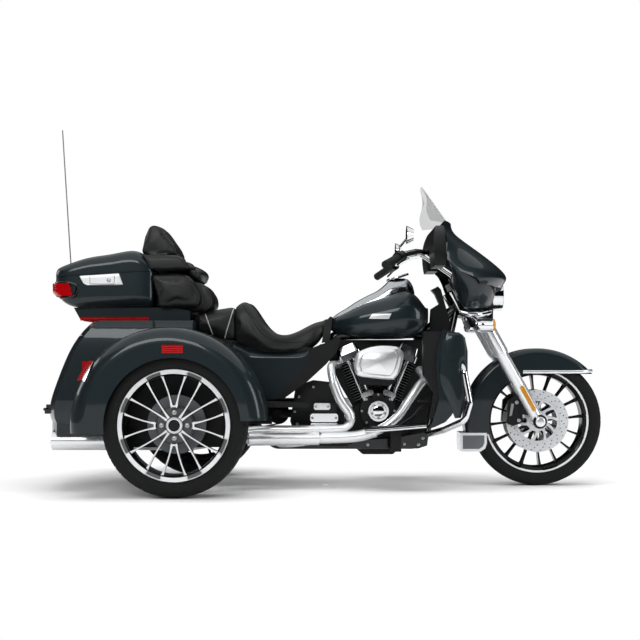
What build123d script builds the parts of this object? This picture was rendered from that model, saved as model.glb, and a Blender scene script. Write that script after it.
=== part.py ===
from build123d import *
import os
from math import cos, sin, radians, tan

# Touring trike, millimetres. +X forward, +Y left, +Z up; the floor is z = 0 and the
# origin is under the middle of the overall length.

os.makedirs("parts", exist_ok=True)

# Driving sizes of the whole machine
front_axle_x = 1022
wheelbase = 1690
front_tyre_radius = 313
front_tyre_width = 130
rear_tyre_radius = 321
rear_tyre_width = 215
overall_width = 1390
seat_gap = 0.3
running_gap = 0.08
moving_gap = 6
overrun = 60
wall = 5
rear_axle_x = front_axle_x - wheelbase

# Steering head and fork
rake = 26
steering_foot_x = 1121
fork_half_spacing = 110
fork_angle = 29
head_low_z = 815
head_high_z = 965
head_tube_radius = 36
stem_radius = 17
slider_radius = 29
upper_leg_radius = 25
cover_radius = 33
cover_low_z = 640
clamp_thickness = 34
clamp_depth = 96
leg_top_z = 1004
axle_radius = 12.5
axle_bore_radius = 8
axle_overhang = 12
axle_lug_radius = 34

# Engine
crank_x = 250
crank_z = 300
cylinder_angle = 22.5
barrel_start = 128
barrel_end = 335
barrel_radius = 50
fin_radius = 68
fin_half_y = 62
fin_thickness = 5
fin_count = 9
rocker_end = 408
rocker_length = 122
rocker_width = 168
case_half_width = 90

# Rear body
fender_x = -692
fender_z = 325
fender_radius = 430
fender_round = 70
wheel_opening_radius = 298
trunk_half_width = 395
rear_tyre_y = 532.5
hub_radius = 60


def side_plane(y):
    """A plane seen from the right side: its x is forward, its y is up."""
    return Plane(origin=(0, y, 0), x_dir=(1, 0, 0), z_dir=(0, -1, 0))


def cross_plane(x):
    """A plane seen from the front: its x is to the left, its y is up."""
    return Plane(origin=(x, 0, 0), x_dir=(0, 1, 0), z_dir=(1, 0, 0))


def placed(shares, corner, size):
    """Points from a table of shares of a size, measured from a corner."""
    return [tuple(c + s * d for c, s, d in zip(corner, row, size)) for row in shares]


def plate(points, y_low, y_high, corner_radius=0):
    """A side outline given its width from y_low to y_high, with its corners rounded."""
    with BuildPart() as body:
        with BuildSketch(side_plane(y_high)) as face:
            with BuildLine():
                Polyline(*points, close=True)
            make_face()
            if corner_radius:
                fillet(face.vertices(), corner_radius)
        extrude(amount=y_high - y_low)
    return body.part


def tube(points, radius, bends):
    """A round bar along straight runs joined by arcs."""
    with BuildPart() as bar:
        with BuildLine() as path:
            FilletPolyline(*points, radius=bends)
        with BuildSketch(Plane(origin=path.line @ 0, z_dir=path.line % 0)):
            Circle(radius)
        sweep()
    return bar.part


def rod(start, end, radius, bore=0):
    """A straight round bar between two points, bored if asked."""
    span = Vector(*end) - Vector(*start)
    with BuildPart() as bar:
        with BuildSketch(Plane(origin=start, z_dir=span)):
            Circle(radius)
            if bore:
                Circle(bore, mode=Mode.SUBTRACT)
        extrude(amount=span.length)
    return bar.part


def block(x_low, x_high, y_low, y_high, z_low, z_high):
    """A box between two corners."""
    with BuildPart() as body:
        with Locations(((x_low + x_high) / 2, (y_low + y_high) / 2, (z_low + z_high) / 2)):
            Box(x_high - x_low, y_high - y_low, z_high - z_low)
    return body.part


def lofted(rows, round_share):
    """A body lofted through rounded rectangles; rows are (x, half width, bottom z, top z)."""
    with BuildPart() as body:
        for x, half, low, high in rows:
            with BuildSketch(Plane(origin=(x, 0, (low + high) / 2), x_dir=(0, 1, 0), z_dir=(1, 0, 0))):
                RectangleRounded(2 * half, high - low, round_share * min(2 * half, high - low))
        loft()
    return body.part


def mirrored(shape):
    """The same shape on the other side of the machine."""
    return mirror(shape, about=Plane.XZ)


def save(builder, name):
    """Label a finished piece and write it under its own name."""
    builder.part.label = name
    export_step(builder.part, f"parts/{name}.step")


def on_head(z):
    """The point of the steering axis at a height."""
    return (steering_foot_x - z * tan(radians(rake)), 0, z)


def on_leg(z, side):
    """The point of a fork leg's centre line at a height."""
    return (front_axle_x - (z - front_tyre_radius) * tan(radians(fork_angle)), side * fork_half_spacing, z)


# Wheels: a turned rim and hub, spokes in pairs, and a brake disc

front_rim_radius = 251
front_rim_width = 92
front_rim_depth = 26
front_hub_radius = 38
front_hub_half = 70
front_disc_radius = 150
front_disc_y = 63
disc_thickness = 6
spoke_pairs = 8
front_spoke_width = 9
front_spoke_depth = 20
front_spoke_spread = 10.8
rear_rim_radius = 248
rear_rim_width = 190
rear_rim_depth = 30
rear_disc_radius = 132
rear_disc_y = 458
rear_spoke_width = 13
rear_spoke_depth = 26
rear_spoke_spread = 13.5
rear_spoke_y = 606
spindle_radius = 20

# columns: place across the width, height above the rim, as shares of half width and section height
tyre_section_shares = ((-0.66, 0), (-0.9, 0.1), (-1, 0.42), (-0.86, 0.8), (-0.5, 0.97), (0, 1))


def tyre(x, y, outer, width, rim):
    """A tyre turned from its section, standing on the rim's outer face."""
    half = width / 2
    height = outer - rim - seat_gap
    left = [(u * half, v * height) for u, v in tyre_section_shares]
    points = left + [(-u, v) for u, v in reversed(left[:-1])]
    with BuildPart() as body:
        with BuildSketch(Plane(origin=(x, y, outer), x_dir=(0, 1, 0), z_dir=(1, 0, 0))):
            with BuildLine():
                Polyline(*[(u, rim + seat_gap + v) for u, v in points], close=True)
            make_face()
        revolve(axis=Axis((x, y, outer), (0, 1, 0)))
    return body.part


def wheel(x, y, z, rim, width, depth, hub, hub_half, bore, spoke, spread, spoke_y):
    """A rim, a bored hub and pairs of spokes; spoke is (width, depth)."""
    with BuildPart() as body:
        with BuildSketch(Plane(origin=(x, y - width / 2, z), x_dir=(1, 0, 0), z_dir=(0, 1, 0))):
            Circle(rim)
            Circle(rim - depth, mode=Mode.SUBTRACT)
        extrude(amount=width)
        with BuildSketch(Plane(origin=(x, y - hub_half, z), x_dir=(1, 0, 0), z_dir=(0, 1, 0))):
            Circle(hub)
        extrude(amount=2 * hub_half)
        reach = rim - depth / 2
        with BuildSketch(Plane(origin=(x, spoke_y - spoke[1] / 2, z), x_dir=(1, 0, 0), z_dir=(0, 1, 0))):
            for pair in range(spoke_pairs):
                for turn in (-spread, spread):
                    angle = pair * 360 / spoke_pairs + turn
                    with Locations(Location((0, 0, 0), (0, 0, angle))):
                        with Locations((reach / 2, 0)):
                            Rectangle(reach, spoke[0])
        extrude(amount=spoke[1])
        with BuildSketch(Plane(origin=(x, y - width, z), x_dir=(1, 0, 0), z_dir=(0, 1, 0))):
            Circle(bore)
        extrude(amount=2 * width, mode=Mode.SUBTRACT)
    return body.part


def disc(x, y, z, radius, bore):
    """A flat brake disc."""
    return rod((x, y - disc_thickness / 2, z), (x, y + disc_thickness / 2, z), radius, bore)


with BuildPart() as front_tyre:
    add(tyre(front_axle_x, 0, front_tyre_radius, front_tyre_width, front_rim_radius))
save(front_tyre, "front_tyre")

with BuildPart() as front_wheel:
    add(wheel(front_axle_x, 0, front_tyre_radius, front_rim_radius, front_rim_width, front_rim_depth,
              front_hub_radius, front_hub_half, axle_radius + running_gap,
              (front_spoke_width, front_spoke_depth), front_spoke_spread, 0))
    for side in (-1, 1):
        add(disc(front_axle_x, side * front_disc_y, front_tyre_radius, front_disc_radius,
                 front_hub_radius - wall))
save(front_wheel, "front_wheel")

for name, side in (("right", -1), ("left", 1)):
    with BuildPart() as rear_tyre:
        add(tyre(rear_axle_x, side * rear_tyre_y, rear_tyre_radius, rear_tyre_width, rear_rim_radius))
    save(rear_tyre, f"rear_tyre_{name}")
    with BuildPart() as rear_wheel:
        add(wheel(rear_axle_x, side * rear_tyre_y, rear_tyre_radius, rear_rim_radius, rear_rim_width,
                  rear_rim_depth, hub_radius, rear_rim_width / 2, spindle_radius + running_gap,
                  (rear_spoke_width, rear_spoke_depth), rear_spoke_spread, side * rear_spoke_y))
        add(disc(rear_axle_x, side * rear_disc_y, rear_tyre_radius, rear_disc_radius, hub_radius - wall))
    save(rear_wheel, f"rear_wheel_{name}")

# Front end: everything that turns with the handlebar

fender_gap_radius = 351
front_fender_inner = 235
front_fender_half = fork_half_spacing - slider_radius - seat_gap
front_fender_cut_x = 962
front_fender_low_z = 540
front_fender_tail_z = 250
front_fender_round = 30

head_direction = Vector(-sin(radians(rake)), 0, cos(radians(rake)))

with BuildPart() as fork:
    for side in (-1, 1):
        add(rod(on_leg(front_tyre_radius, side), on_leg(cover_low_z + wall, side), slider_radius))
        add(rod(on_leg(cover_low_z, side), on_leg(head_high_z - clamp_thickness, side), cover_radius))
        add(rod(on_leg(cover_low_z, side), on_leg(leg_top_z + clamp_thickness / 2, side), upper_leg_radius))
        lug_y = side * fork_half_spacing
        add(rod((front_axle_x, lug_y - slider_radius, front_tyre_radius),
                (front_axle_x, lug_y + slider_radius, front_tyre_radius), axle_lug_radius))
    for z in (head_low_z, head_high_z):
        drop = -clamp_thickness - seat_gap if z == head_low_z else seat_gap
        with BuildSketch(Plane(origin=Vector(*on_head(z)) + head_direction * drop,
                               x_dir=(0, 1, 0), z_dir=head_direction)):
            RectangleRounded(2 * (fork_half_spacing + cover_radius + wall), clamp_depth, clamp_depth / 3)
        extrude(amount=clamp_thickness)
    add(rod(on_head(head_low_z - clamp_thickness / 2), on_head(head_high_z + clamp_thickness / 2), stem_radius))
    with BuildSketch(Plane(origin=(front_axle_x, -2 * fork_half_spacing, front_tyre_radius),
                           x_dir=(1, 0, 0), z_dir=(0, 1, 0))):
        Circle(axle_radius + seat_gap)
    extrude(amount=4 * fork_half_spacing, mode=Mode.SUBTRACT)
save(fork, "fork")

axle_half = fork_half_spacing + slider_radius + axle_overhang
with BuildPart() as front_axle:
    add(rod((front_axle_x, -axle_half, front_tyre_radius), (front_axle_x, axle_half, front_tyre_radius),
            axle_radius, axle_bore_radius))
    for side in (-1, 1):
        cap_start = side * (fork_half_spacing + slider_radius + seat_gap)
        add(rod((front_axle_x, cap_start, front_tyre_radius),
                (front_axle_x, side * axle_half, front_tyre_radius),
                axle_radius + wall, axle_bore_radius))
save(front_axle, "front_axle")

with BuildPart() as front_fender:
    with BuildSketch(Plane(origin=(front_axle_x, 0, front_tyre_radius), x_dir=(0, 1, 0),
                           z_dir=(1, 0, 0))) as arch:
        with Locations((0, (fender_gap_radius + front_fender_inner) / 2)):
            Rectangle(2 * front_fender_half, fender_gap_radius - front_fender_inner)
        fillet(arch.vertices().group_by(Axis.Y)[-1], front_fender_round)
        with BuildSketch(mode=Mode.PRIVATE) as hollow:
            with Locations((0, (fender_gap_radius + front_fender_inner) / 2 - wall)):
                Rectangle(2 * (front_fender_half - wall), fender_gap_radius - front_fender_inner)
            fillet(hollow.vertices().group_by(Axis.Y)[-1], front_fender_round - wall)
        add(hollow.sketch, mode=Mode.SUBTRACT)
    revolve(axis=Axis((front_axle_x, 0, front_tyre_radius), (0, 1, 0)))
    reach = fender_gap_radius + overrun
    add(block(front_fender_cut_x, front_axle_x + reach, -reach, reach, 0, front_fender_low_z),
        mode=Mode.SUBTRACT)
    add(block(front_axle_x - reach, front_axle_x + reach, -reach, reach,
              front_tyre_radius - reach, front_fender_tail_z), mode=Mode.SUBTRACT)
save(front_fender, "front_fender")

# columns: x, z as shares of the caliper's length and height
caliper_length = 84
caliper_height = 150
caliper_shares = ((0, 0.1), (0.35, 0), (0.9, 0.12), (1, 0.5), (0.95, 0.95), (0.5, 1), (0.1, 0.8))
caliper_x = 868
caliper_z = 290
caliper_low_y = front_disc_y + disc_thickness / 2 + moving_gap
caliper_lug = 20
with BuildPart() as calipers:
    for side in (-1, 1):
        outline = placed(caliper_shares, (caliper_x, caliper_z), (caliper_length, caliper_height))
        inner, outer = caliper_low_y, fork_half_spacing - wall
        low, high = (inner, outer) if side > 0 else (-outer, -inner)
        add(plate(outline, low, high))
        lug_x = on_leg(caliper_z + caliper_height / 2, side)[0] - slider_radius / cos(radians(fork_angle))
        lug = block(caliper_x + caliper_length - caliper_lug, lug_x + caliper_lug, outer - caliper_lug,
                    outer + wall,
                    caliper_z + caliper_height / 2 - caliper_lug, caliper_z + caliper_height / 2 + caliper_lug)
        add(lug if side > 0 else mirrored(lug))
        add(rod(on_leg(front_tyre_radius - caliper_height, side), on_leg(cover_low_z, side),
                slider_radius + seat_gap), mode=Mode.SUBTRACT)
save(calipers, "calipers")

# Outer fairing: a shell lofted through plan outlines, open at the back
# columns: height, rear edge, nose, half width, as shares of the fairing's height, length and half width
fairing_low_z = 955
fairing_height = 307
fairing_rear_x = 555
fairing_length = 317
fairing_half = 385
fairing_shares = (
    (0, 0.46, 0.93, 0.75),
    (0.2, 0.2, 1, 0.965),
    (0.35, 0.01, 0.86, 1),
    (0.54, 0, 0.62, 0.975),
    (0.74, 0, 0.34, 0.885),
    (1, 0, 0.165, 0.66),
)
headlamp_radius = 73
headlamp_rear_x = 745
headlamp_length = 118
headlamp_z = 921


def fairing_form(inset, back):
    """The fairing's plan outlines lofted into one body, drawn in by inset and carried back."""
    with BuildPart() as body:
        for row, (height, rear, nose, half) in enumerate(fairing_shares):
            lift = inset if row == 0 else (-inset if row == len(fairing_shares) - 1 else 0)
            x_rear = fairing_rear_x + rear * fairing_length - back
            x_side = fairing_rear_x + rear * fairing_length
            x_nose = fairing_rear_x + nose * fairing_length - inset
            side_y = half * fairing_half - inset
            with BuildSketch(Plane.XY.offset(fairing_low_z + height * fairing_height + lift)):
                with BuildLine():
                    Line((x_rear, side_y), (x_rear, -side_y))
                    if back:
                        Line((x_rear, -side_y), (x_side, -side_y))
                    ThreePointArc((x_side, -side_y), (x_nose, 0), (x_side, side_y))
                    if back:
                        Line((x_side, side_y), (x_rear, side_y))
                make_face()
        loft()
    return body.part


with BuildPart() as outer_fairing:
    add(fairing_form(0, 0))
    add(fairing_form(wall, overrun), mode=Mode.SUBTRACT)
    add(rod((headlamp_rear_x - overrun, 0, headlamp_z), (headlamp_rear_x + 2 * headlamp_length, 0, headlamp_z),
            headlamp_radius + seat_gap), mode=Mode.SUBTRACT)
    add(block(fairing_rear_x - 2 * overrun, fairing_rear_x, -2 * fairing_half, 2 * fairing_half,
              fairing_low_z - overrun, fairing_low_z + fairing_height + overrun), mode=Mode.SUBTRACT)
save(outer_fairing, "outer_fairing")

with BuildPart() as headlamp:
    add(rod((headlamp_rear_x, 0, headlamp_z), (headlamp_rear_x + headlamp_length, 0, headlamp_z),
            headlamp_radius))
    fillet(headlamp.edges().group_by(Axis.X)[0], headlamp_radius / 2)
    fillet(headlamp.edges().group_by(Axis.X)[-1], headlamp_radius / 6)
save(headlamp, "headlamp")

# Nacelle: the black cover at the fork's top that carries the headlamp and the fairing
nacelle_half = 96
nacelle_rear_x = 766
nacelle_front_x = 804
nacelle_low_z = 790
with BuildPart() as nacelle:
    add(block(nacelle_rear_x, nacelle_front_x, -nacelle_half, nacelle_half, nacelle_low_z,
              fairing_low_z - seat_gap))
    add(rod((headlamp_rear_x - overrun, 0, headlamp_z), (headlamp_rear_x + 2 * headlamp_length, 0, headlamp_z),
            headlamp_radius + seat_gap), mode=Mode.SUBTRACT)
    add(fork.part, mode=Mode.SUBTRACT)
save(nacelle, "nacelle")

# Inner fairing: the dash panel that closes the back of the outer shell
# columns: height, rear edge, half width, as shares of the dash's height, thickness and the fairing's half width
dash_low_z = 1046
dash_height = 194
dash_thickness = 58
dash_shares = ((0, 0.15, 0.86), (0.45, 0, 0.88), (1, 0.35, 0.6))
dash_notch_half = 90
dash_notch_height = 96
with BuildPart() as inner_fairing:
    for height, rear, half in dash_shares:
        x_rear = fairing_rear_x - seat_gap - dash_thickness * (1 - rear)
        with BuildSketch(Plane.XY.offset(dash_low_z + height * dash_height)):
            with Locations(((x_rear + fairing_rear_x - seat_gap) / 2, 0)):
                Rectangle(fairing_rear_x - seat_gap - x_rear, 2 * half * fairing_half)
    loft()
    add(block(fairing_rear_x - 2 * dash_thickness, fairing_rear_x + overrun, -dash_notch_half, dash_notch_half,
              dash_low_z - overrun, dash_low_z + dash_notch_height), mode=Mode.SUBTRACT)
save(inner_fairing, "inner_fairing")

# Windshield: a curved sheet that leans back, lofted between two bands
screen_base_z = 1262.5
screen_top_z = 1452
screen_base_x = 598
screen_top_x = 466
screen_base_half = 235
screen_top_half = 225
screen_sag = 72
screen_thickness = 4
screen_corner = 90
with BuildPart() as windshield:
    for z, x_front, half in ((screen_base_z, screen_base_x, screen_base_half),
                             (screen_top_z, screen_top_x, screen_top_half)):
        with BuildSketch(Plane.XY.offset(z)):
            with BuildLine():
                ThreePointArc((x_front - screen_sag, -half), (x_front, 0), (x_front - screen_sag, half))
                Line((x_front - screen_sag, half), (x_front - screen_sag - screen_thickness, half))
                ThreePointArc((x_front - screen_sag - screen_thickness, half), (x_front - screen_thickness, 0),
                              (x_front - screen_sag - screen_thickness, -half))
                Line((x_front - screen_sag - screen_thickness, -half), (x_front - screen_sag, -half))
            make_face()
    loft(ruled=True)
    with BuildSketch(cross_plane(screen_top_x - 2 * overrun)) as front_view:
        with Locations((0, (screen_top_z + screen_base_z - screen_corner) / 2)):
            RectangleRounded(2 * screen_base_half, screen_top_z - screen_base_z + screen_corner, screen_corner)
    extrude(amount=screen_base_x - screen_top_x + 4 * overrun, mode=Mode.INTERSECT)
save(windshield, "windshield")

# Turn lamps on a chrome bar below the headlamp
turn_lamp_y = 222
turn_lamp_radius = 32
turn_lamp_x = 702
turn_lamp_length = 92
turn_lamp_z = 772
turn_bar_radius = 11
turn_bar_y = fork_half_spacing + cover_radius + 2 * turn_bar_radius
with BuildPart() as turn_lamps:
    for side in (-1, 1):
        add(rod((turn_lamp_x, side * turn_lamp_y, turn_lamp_z),
                (turn_lamp_x + turn_lamp_length, side * turn_lamp_y, turn_lamp_z), turn_lamp_radius))
    bar_x = nacelle_front_x + turn_bar_radius + seat_gap
    add(tube(((turn_lamp_x + turn_lamp_length / 2, -turn_lamp_y, turn_lamp_z),
              (bar_x, -turn_bar_y, nacelle_low_z + 2 * turn_bar_radius),
              (bar_x, turn_bar_y, nacelle_low_z + 2 * turn_bar_radius),
              (turn_lamp_x + turn_lamp_length / 2, turn_lamp_y, turn_lamp_z)),
             turn_bar_radius, (4 * turn_bar_radius, 4 * turn_bar_radius)))
save(turn_lamps, "turn_lamps")

# Handlebar, from grip end to grip end, on risers from the upper clamp
# columns: x, y, z as shares of the bar's pull back, half width and rise
bar_front_x = 474
bar_pull_back = 203
bar_half = 430
bar_low_z = 1042
bar_rise = 84
bar_radius = 15
grip_radius = 19
grip_length = 128
bar_shares = ((0, 1, 0), (0.47, 0.61, 0.7), (0.78, 0.34, 0.96), (1, 0.14, 1))
bar_points = placed(bar_shares, (bar_front_x - bar_pull_back, 0, bar_low_z),
                    (bar_pull_back, -bar_half, bar_rise))
bar_path = bar_points + [(x, -y, z) for x, y, z in reversed(bar_points)]
riser_y = 42
riser_radius = 14
with BuildPart() as handlebar:
    add(tube(bar_path, bar_radius, (3 * bar_radius, 4 * bar_radius, 3 * bar_radius,
                                    3 * bar_radius, 4 * bar_radius, 3 * bar_radius)))
    for side in (-1, 1):
        foot = Vector(*on_head(head_high_z)) + head_direction * (clamp_thickness + 2 * seat_gap)
        add(tube(((foot.X, side * riser_y, foot.Z),
                  (foot.X - riser_radius, side * riser_y, foot.Z + 2 * riser_radius),
                  (bar_front_x, side * riser_y, bar_low_z + bar_rise)), riser_radius, (riser_radius,)))
    add(fork.part, mode=Mode.SUBTRACT)
save(handlebar, "handlebar")

grip_axis = (Vector(*bar_points[1]) - Vector(*bar_points[0])).normalized()
housing_length = 46
housing_radius = 27
with BuildPart() as grips:
    for side in (-1, 1):
        start = Vector(*bar_points[0]) - grip_axis * wall
        stop = Vector(*bar_points[0]) + grip_axis * grip_length
        grip = rod(tuple(start), tuple(stop), grip_radius)
        core = rod(tuple(start + grip_axis * wall), tuple(stop + grip_axis * wall), bar_radius + running_gap)
        add((grip - core) if side < 0 else mirrored(grip - core))
save(grips, "grips")

with BuildPart() as controls:
    for side in (-1, 1):
        start = Vector(*bar_points[0]) + grip_axis * (grip_length + seat_gap)
        stop = start + grip_axis * housing_length
        lever_root = start + grip_axis * (housing_length / 2) + Vector(housing_radius, 0, 0)
        lever_tip = Vector(*bar_points[0]) + Vector(2 * housing_radius, 0, 0)
        can = rod(tuple(start), tuple(stop), housing_radius) + rod(tuple(lever_root), tuple(lever_tip), wall)
        can = can - rod(tuple(start - grip_axis * wall), tuple(stop + grip_axis * wall),
                        bar_radius + running_gap)
        add(can if side < 0 else mirrored(can))
save(controls, "controls")

# Mirrors: an oval head on a stalk from each control housing
mirror_y = 440
mirror_x = 365
mirror_z = 1175
mirror_half = 62
mirror_high = 42
mirror_depth = 30
stalk_radius = 5.5


def mirror_head():
    """The right mirror's oval shell, narrower at its front."""
    with BuildPart() as head:
        with BuildSketch(cross_plane(mirror_x)):
            with Locations((-mirror_y, mirror_z)):
                Ellipse(mirror_half, mirror_high)
        with BuildSketch(cross_plane(mirror_x + mirror_depth)):
            with Locations((-mirror_y, mirror_z)):
                Ellipse(mirror_half - mirror_depth / 2, mirror_high - mirror_depth / 2)
        loft()
    return head.part


with BuildPart() as mirrors:
    root = (Vector(*bar_points[0]) + grip_axis * (grip_length + housing_length / 2)
            + Vector(0, 0, housing_radius - stalk_radius / 2))
    knee = (root.X, root.Y, root.Z + 4 * stalk_radius)
    one = rod(tuple(root), knee, stalk_radius) + rod(knee,
                                                     (mirror_x + mirror_depth / 2, -mirror_y, mirror_z), stalk_radius)
    add(one)
    add(mirror_head())
    add(mirrored(one))
    add(mirrored(mirror_head()))
    add(controls.part, mode=Mode.SUBTRACT)
save(mirrors, "mirrors")

# Frame: steering head, backbone over the engine, two lower rails and the rear posts
# columns: x, y, z as shares of the frame's length, the rail's half width and the frame's height
frame_rear_x = -560
frame_length = 1210
frame_height = 900
rail_y = 125
rail_radius = 14
backbone_radius = 26
backbone_shares = ((1.005, 0, 0.972), (0.86, 0, 0.822), (0.5, 0, 0.812), (0.445, 0, 0.67), (0, 0, 0.64))
rail_shares = ((0.985, 0.2, 0.93), (0.93, 0.5, 0.6), (0.862, 1, 0.28), (0.82, 1, 0.218),
               (0.26, 1, 0.218), (0.13, 1, 0.38), (0.1, 0.4, 0.64))
with BuildPart() as frame:
    add(rod(on_head(head_low_z), on_head(head_high_z), head_tube_radius))
    add(tube(placed(backbone_shares, (frame_rear_x, 0, 0), (frame_length, rail_y, frame_height)),
             backbone_radius, (2 * backbone_radius, 2 * backbone_radius, 2 * backbone_radius)))
    rail = tube(placed(rail_shares, (frame_rear_x, 0, 0), (frame_length, rail_y, frame_height)),
                rail_radius, (4 * rail_radius,) * (len(rail_shares) - 2))
    add(rail)
    add(mirrored(rail))
    for share in (0.3, 0.8):
        cross_x = frame_rear_x + share * frame_length
        cross_z = rail_shares[-3][2] * frame_height
        add(rod((cross_x, -rail_y, cross_z), (cross_x, rail_y, cross_z), rail_radius))
    add(rod(on_head(head_low_z - overrun), on_head(head_high_z + overrun), stem_radius + running_gap),
        mode=Mode.SUBTRACT)
save(frame, "frame")

# Engine: crankcase with its round cam cover, and two finned cylinders at an angle
case_radius = 146
cam_cover_radius = 92
cam_cover_y = 148
cam_dome_radius = 50
cam_dome_y = 170
cam_z = 365
case_top_z = 428
# columns: x, z as shares of the case's radius about the crank
case_shares = ((-1.05, 0.1), (-0.95, -0.6), (-0.5, -1), (0.5, -1), (0.95, -0.6), (1.05, 0.1), (0.72, 0.62),
               (0.3, 0.82), (-0.3, 0.82), (-0.72, 0.62))
tappet_radius = 34
with BuildPart() as engine_case:
    add(plate(placed(case_shares, (crank_x, crank_z), (case_radius, case_radius)),
              -case_half_width, case_half_width, case_radius / 12))
    add(rod((crank_x, -case_half_width, cam_z), (crank_x, -cam_cover_y, cam_z), cam_cover_radius))
    fillet(engine_case.faces().sort_by(Axis.Y)[0].edges(), cam_cover_radius / 8)
    add(rod((crank_x, -case_half_width, cam_z), (crank_x, -cam_dome_y, cam_z), cam_dome_radius))
    fillet(engine_case.faces().sort_by(Axis.Y)[0].edges(), cam_dome_radius / 5)
    for side in (-1, 1):
        add(rod((crank_x + side * tappet_radius, -case_half_width - tappet_radius, crank_z + case_radius / 2),
                (crank_x + side * 1.6 * tappet_radius, -case_half_width - tappet_radius,
                 case_top_z + tappet_radius),
                tappet_radius * 0.8))
save(engine_case, "engine_case")


def bank(side):
    """The plane square to a cylinder's axis at the crank; side is -1 for the rear one."""
    lean = side * radians(cylinder_angle)
    return Plane(origin=(crank_x, 0, crank_z), x_dir=(cos(lean), 0, -sin(lean)),
                 z_dir=(sin(lean), 0, cos(lean)))


fin_pitch = (barrel_end - barrel_start) / fin_count
with BuildPart() as cylinders:
    for side in (-1, 1):
        with BuildSketch(bank(side).offset(barrel_start)):
            Circle(barrel_radius)
        extrude(amount=barrel_end - barrel_start)
        for fin in range(fin_count):
            with BuildSketch(bank(side).offset(barrel_start + (fin + 0.5) * fin_pitch)):
                RectangleRounded(2 * fin_radius, 2 * fin_half_y, fin_radius / 2)
            extrude(amount=fin_thickness)
    add(engine_case.part, mode=Mode.SUBTRACT)
save(cylinders, "cylinders")

head_share = 0.45
with BuildPart() as rocker_covers:
    for side in (-1, 1):
        with BuildSketch(bank(side).offset(barrel_end + seat_gap)):
            RectangleRounded(rocker_length, rocker_width, rocker_length / 6)
        extrude(amount=(rocker_end - barrel_end) * head_share)
        with BuildSketch(bank(side).offset(barrel_end + (rocker_end - barrel_end) * head_share)):
            RectangleRounded(rocker_length - 2 * wall, rocker_width - 2 * wall, rocker_length / 6)
        extrude(amount=(rocker_end - barrel_end) * (1 - head_share), taper=overrun / 4)
save(rocker_covers, "rocker_covers")

pushrod_radius = 9
pushrod_y = fin_half_y + pushrod_radius + seat_gap
pushrod_spread = 16
with BuildPart() as pushrod_tubes:
    for side in (-1, 1):
        for step in (-1, 1):
            foot = bank(side).from_local_coords(Vector(step * pushrod_spread, -pushrod_y,
                                                       barrel_start - 2 * wall))
            top = bank(side).from_local_coords(Vector(step * pushrod_spread, -pushrod_y, barrel_end))
            add(rod(tuple(foot), tuple(top), pushrod_radius))
    add(cylinders.part, mode=Mode.SUBTRACT)
    add(engine_case.part, mode=Mode.SUBTRACT)
save(pushrod_tubes, "pushrod_tubes")

# Air cleaner: a rounded cover on a backing plate, on the right between the cylinders
# columns: x, z as shares of the cover's length and height
air_x = 130
air_z = 515
air_length = 238
air_height = 160
air_plate_y = 150
air_high_y = 238
air_shares = ((0, 0.47), (0.08, 0.78), (0.29, 0.94), (0.55, 1), (0.84, 0.98), (0.92, 0.9), (1, 0.72),
              (0.92, 0.28),
              (0.82, 0.03), (0.71, 0), (0.13, 0.09), (0.02, 0.28))
air_panel_share = 0.68
with BuildPart() as air_cleaner:
    outline = placed(air_shares, (air_x, air_z), (air_length, air_height))
    add(plate(outline, -air_high_y, -air_plate_y, air_height / 16))
    fillet(air_cleaner.faces().sort_by(Axis.Y)[0].edges(), air_height / 14)
    middle = (air_x + air_length / 2, air_z + air_height / 2)
    panel = [(middle[0] + air_panel_share * (x - middle[0]), middle[1] + air_panel_share * (z - middle[1]))
             for x, z in outline]
    add(plate(panel, -air_high_y - wall, -air_high_y, air_height / 24))
    add(plate(panel, -air_plate_y, -rocker_width / 4))
    add(cylinders.part, mode=Mode.SUBTRACT)
    add(pushrod_tubes.part, mode=Mode.SUBTRACT)
    add(rocker_covers.part, mode=Mode.SUBTRACT)
save(air_cleaner, "air_cleaner")

# Gearbox behind the crankcase, with its chrome end covers
gearbox_x = -172
gearbox_z = 222
gearbox_length = 262
gearbox_height = 286
gearbox_half = 80
gearbox_cover_y = 132
# columns: x, z as shares of the gearbox's length and height
gearbox_shares = ((0, 0.32), (0.12, 0), (0.85, 0.02), (1, 0.3), (1, 0.72), (0.8, 0.96), (0.42, 1), (0.1, 0.9))
gearbox_cover_shares = ((0.4, 0.3), (0.84, 0.3), (0.86, 0.62), (0.42, 0.62))
with BuildPart() as gearbox:
    add(plate(placed(gearbox_shares, (gearbox_x, gearbox_z), (gearbox_length, gearbox_height)),
              -gearbox_half, gearbox_half, gearbox_height / 20))
    add(plate(placed(gearbox_cover_shares, (gearbox_x, gearbox_z), (gearbox_length, gearbox_height)),
              -gearbox_cover_y, -gearbox_half, gearbox_height / 20))
    add(engine_case.part, mode=Mode.SUBTRACT)
    add(cylinders.part, mode=Mode.SUBTRACT)
save(gearbox, "gearbox")

primary_front_radius = 84
primary_rear_x = -30
primary_rear_z = 336
primary_rear_radius = 106
primary_depth = 110
with BuildPart() as primary_cover:
    with BuildSketch(side_plane(case_half_width + seat_gap + primary_depth)) as face:
        with Locations((crank_x, crank_z)):
            Circle(primary_front_radius)
        with Locations((primary_rear_x, primary_rear_z)):
            Circle(primary_rear_radius)
        make_hull()
    extrude(amount=primary_depth)
    fillet(primary_cover.faces().sort_by(Axis.Y)[-1].edges(), primary_front_radius / 5)
    add(rod((crank_x, 0, crank_z), (crank_x, case_half_width + primary_depth + 2 * wall, crank_z),
            primary_front_radius / 2))
    add(engine_case.part, mode=Mode.SUBTRACT)
    add(gearbox.part, mode=Mode.SUBTRACT)
save(primary_cover, "primary_cover")

# Exhaust: two headers on the right, a crossover under the gearbox, and a muffler each side
header_radius = 22
pipe_radius = 25
header_y = 205
exhaust_z = 236
muffler_y = 330
muffler_radius = 44
muffler_front_x = -520
muffler_rear_x = -1262
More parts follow.
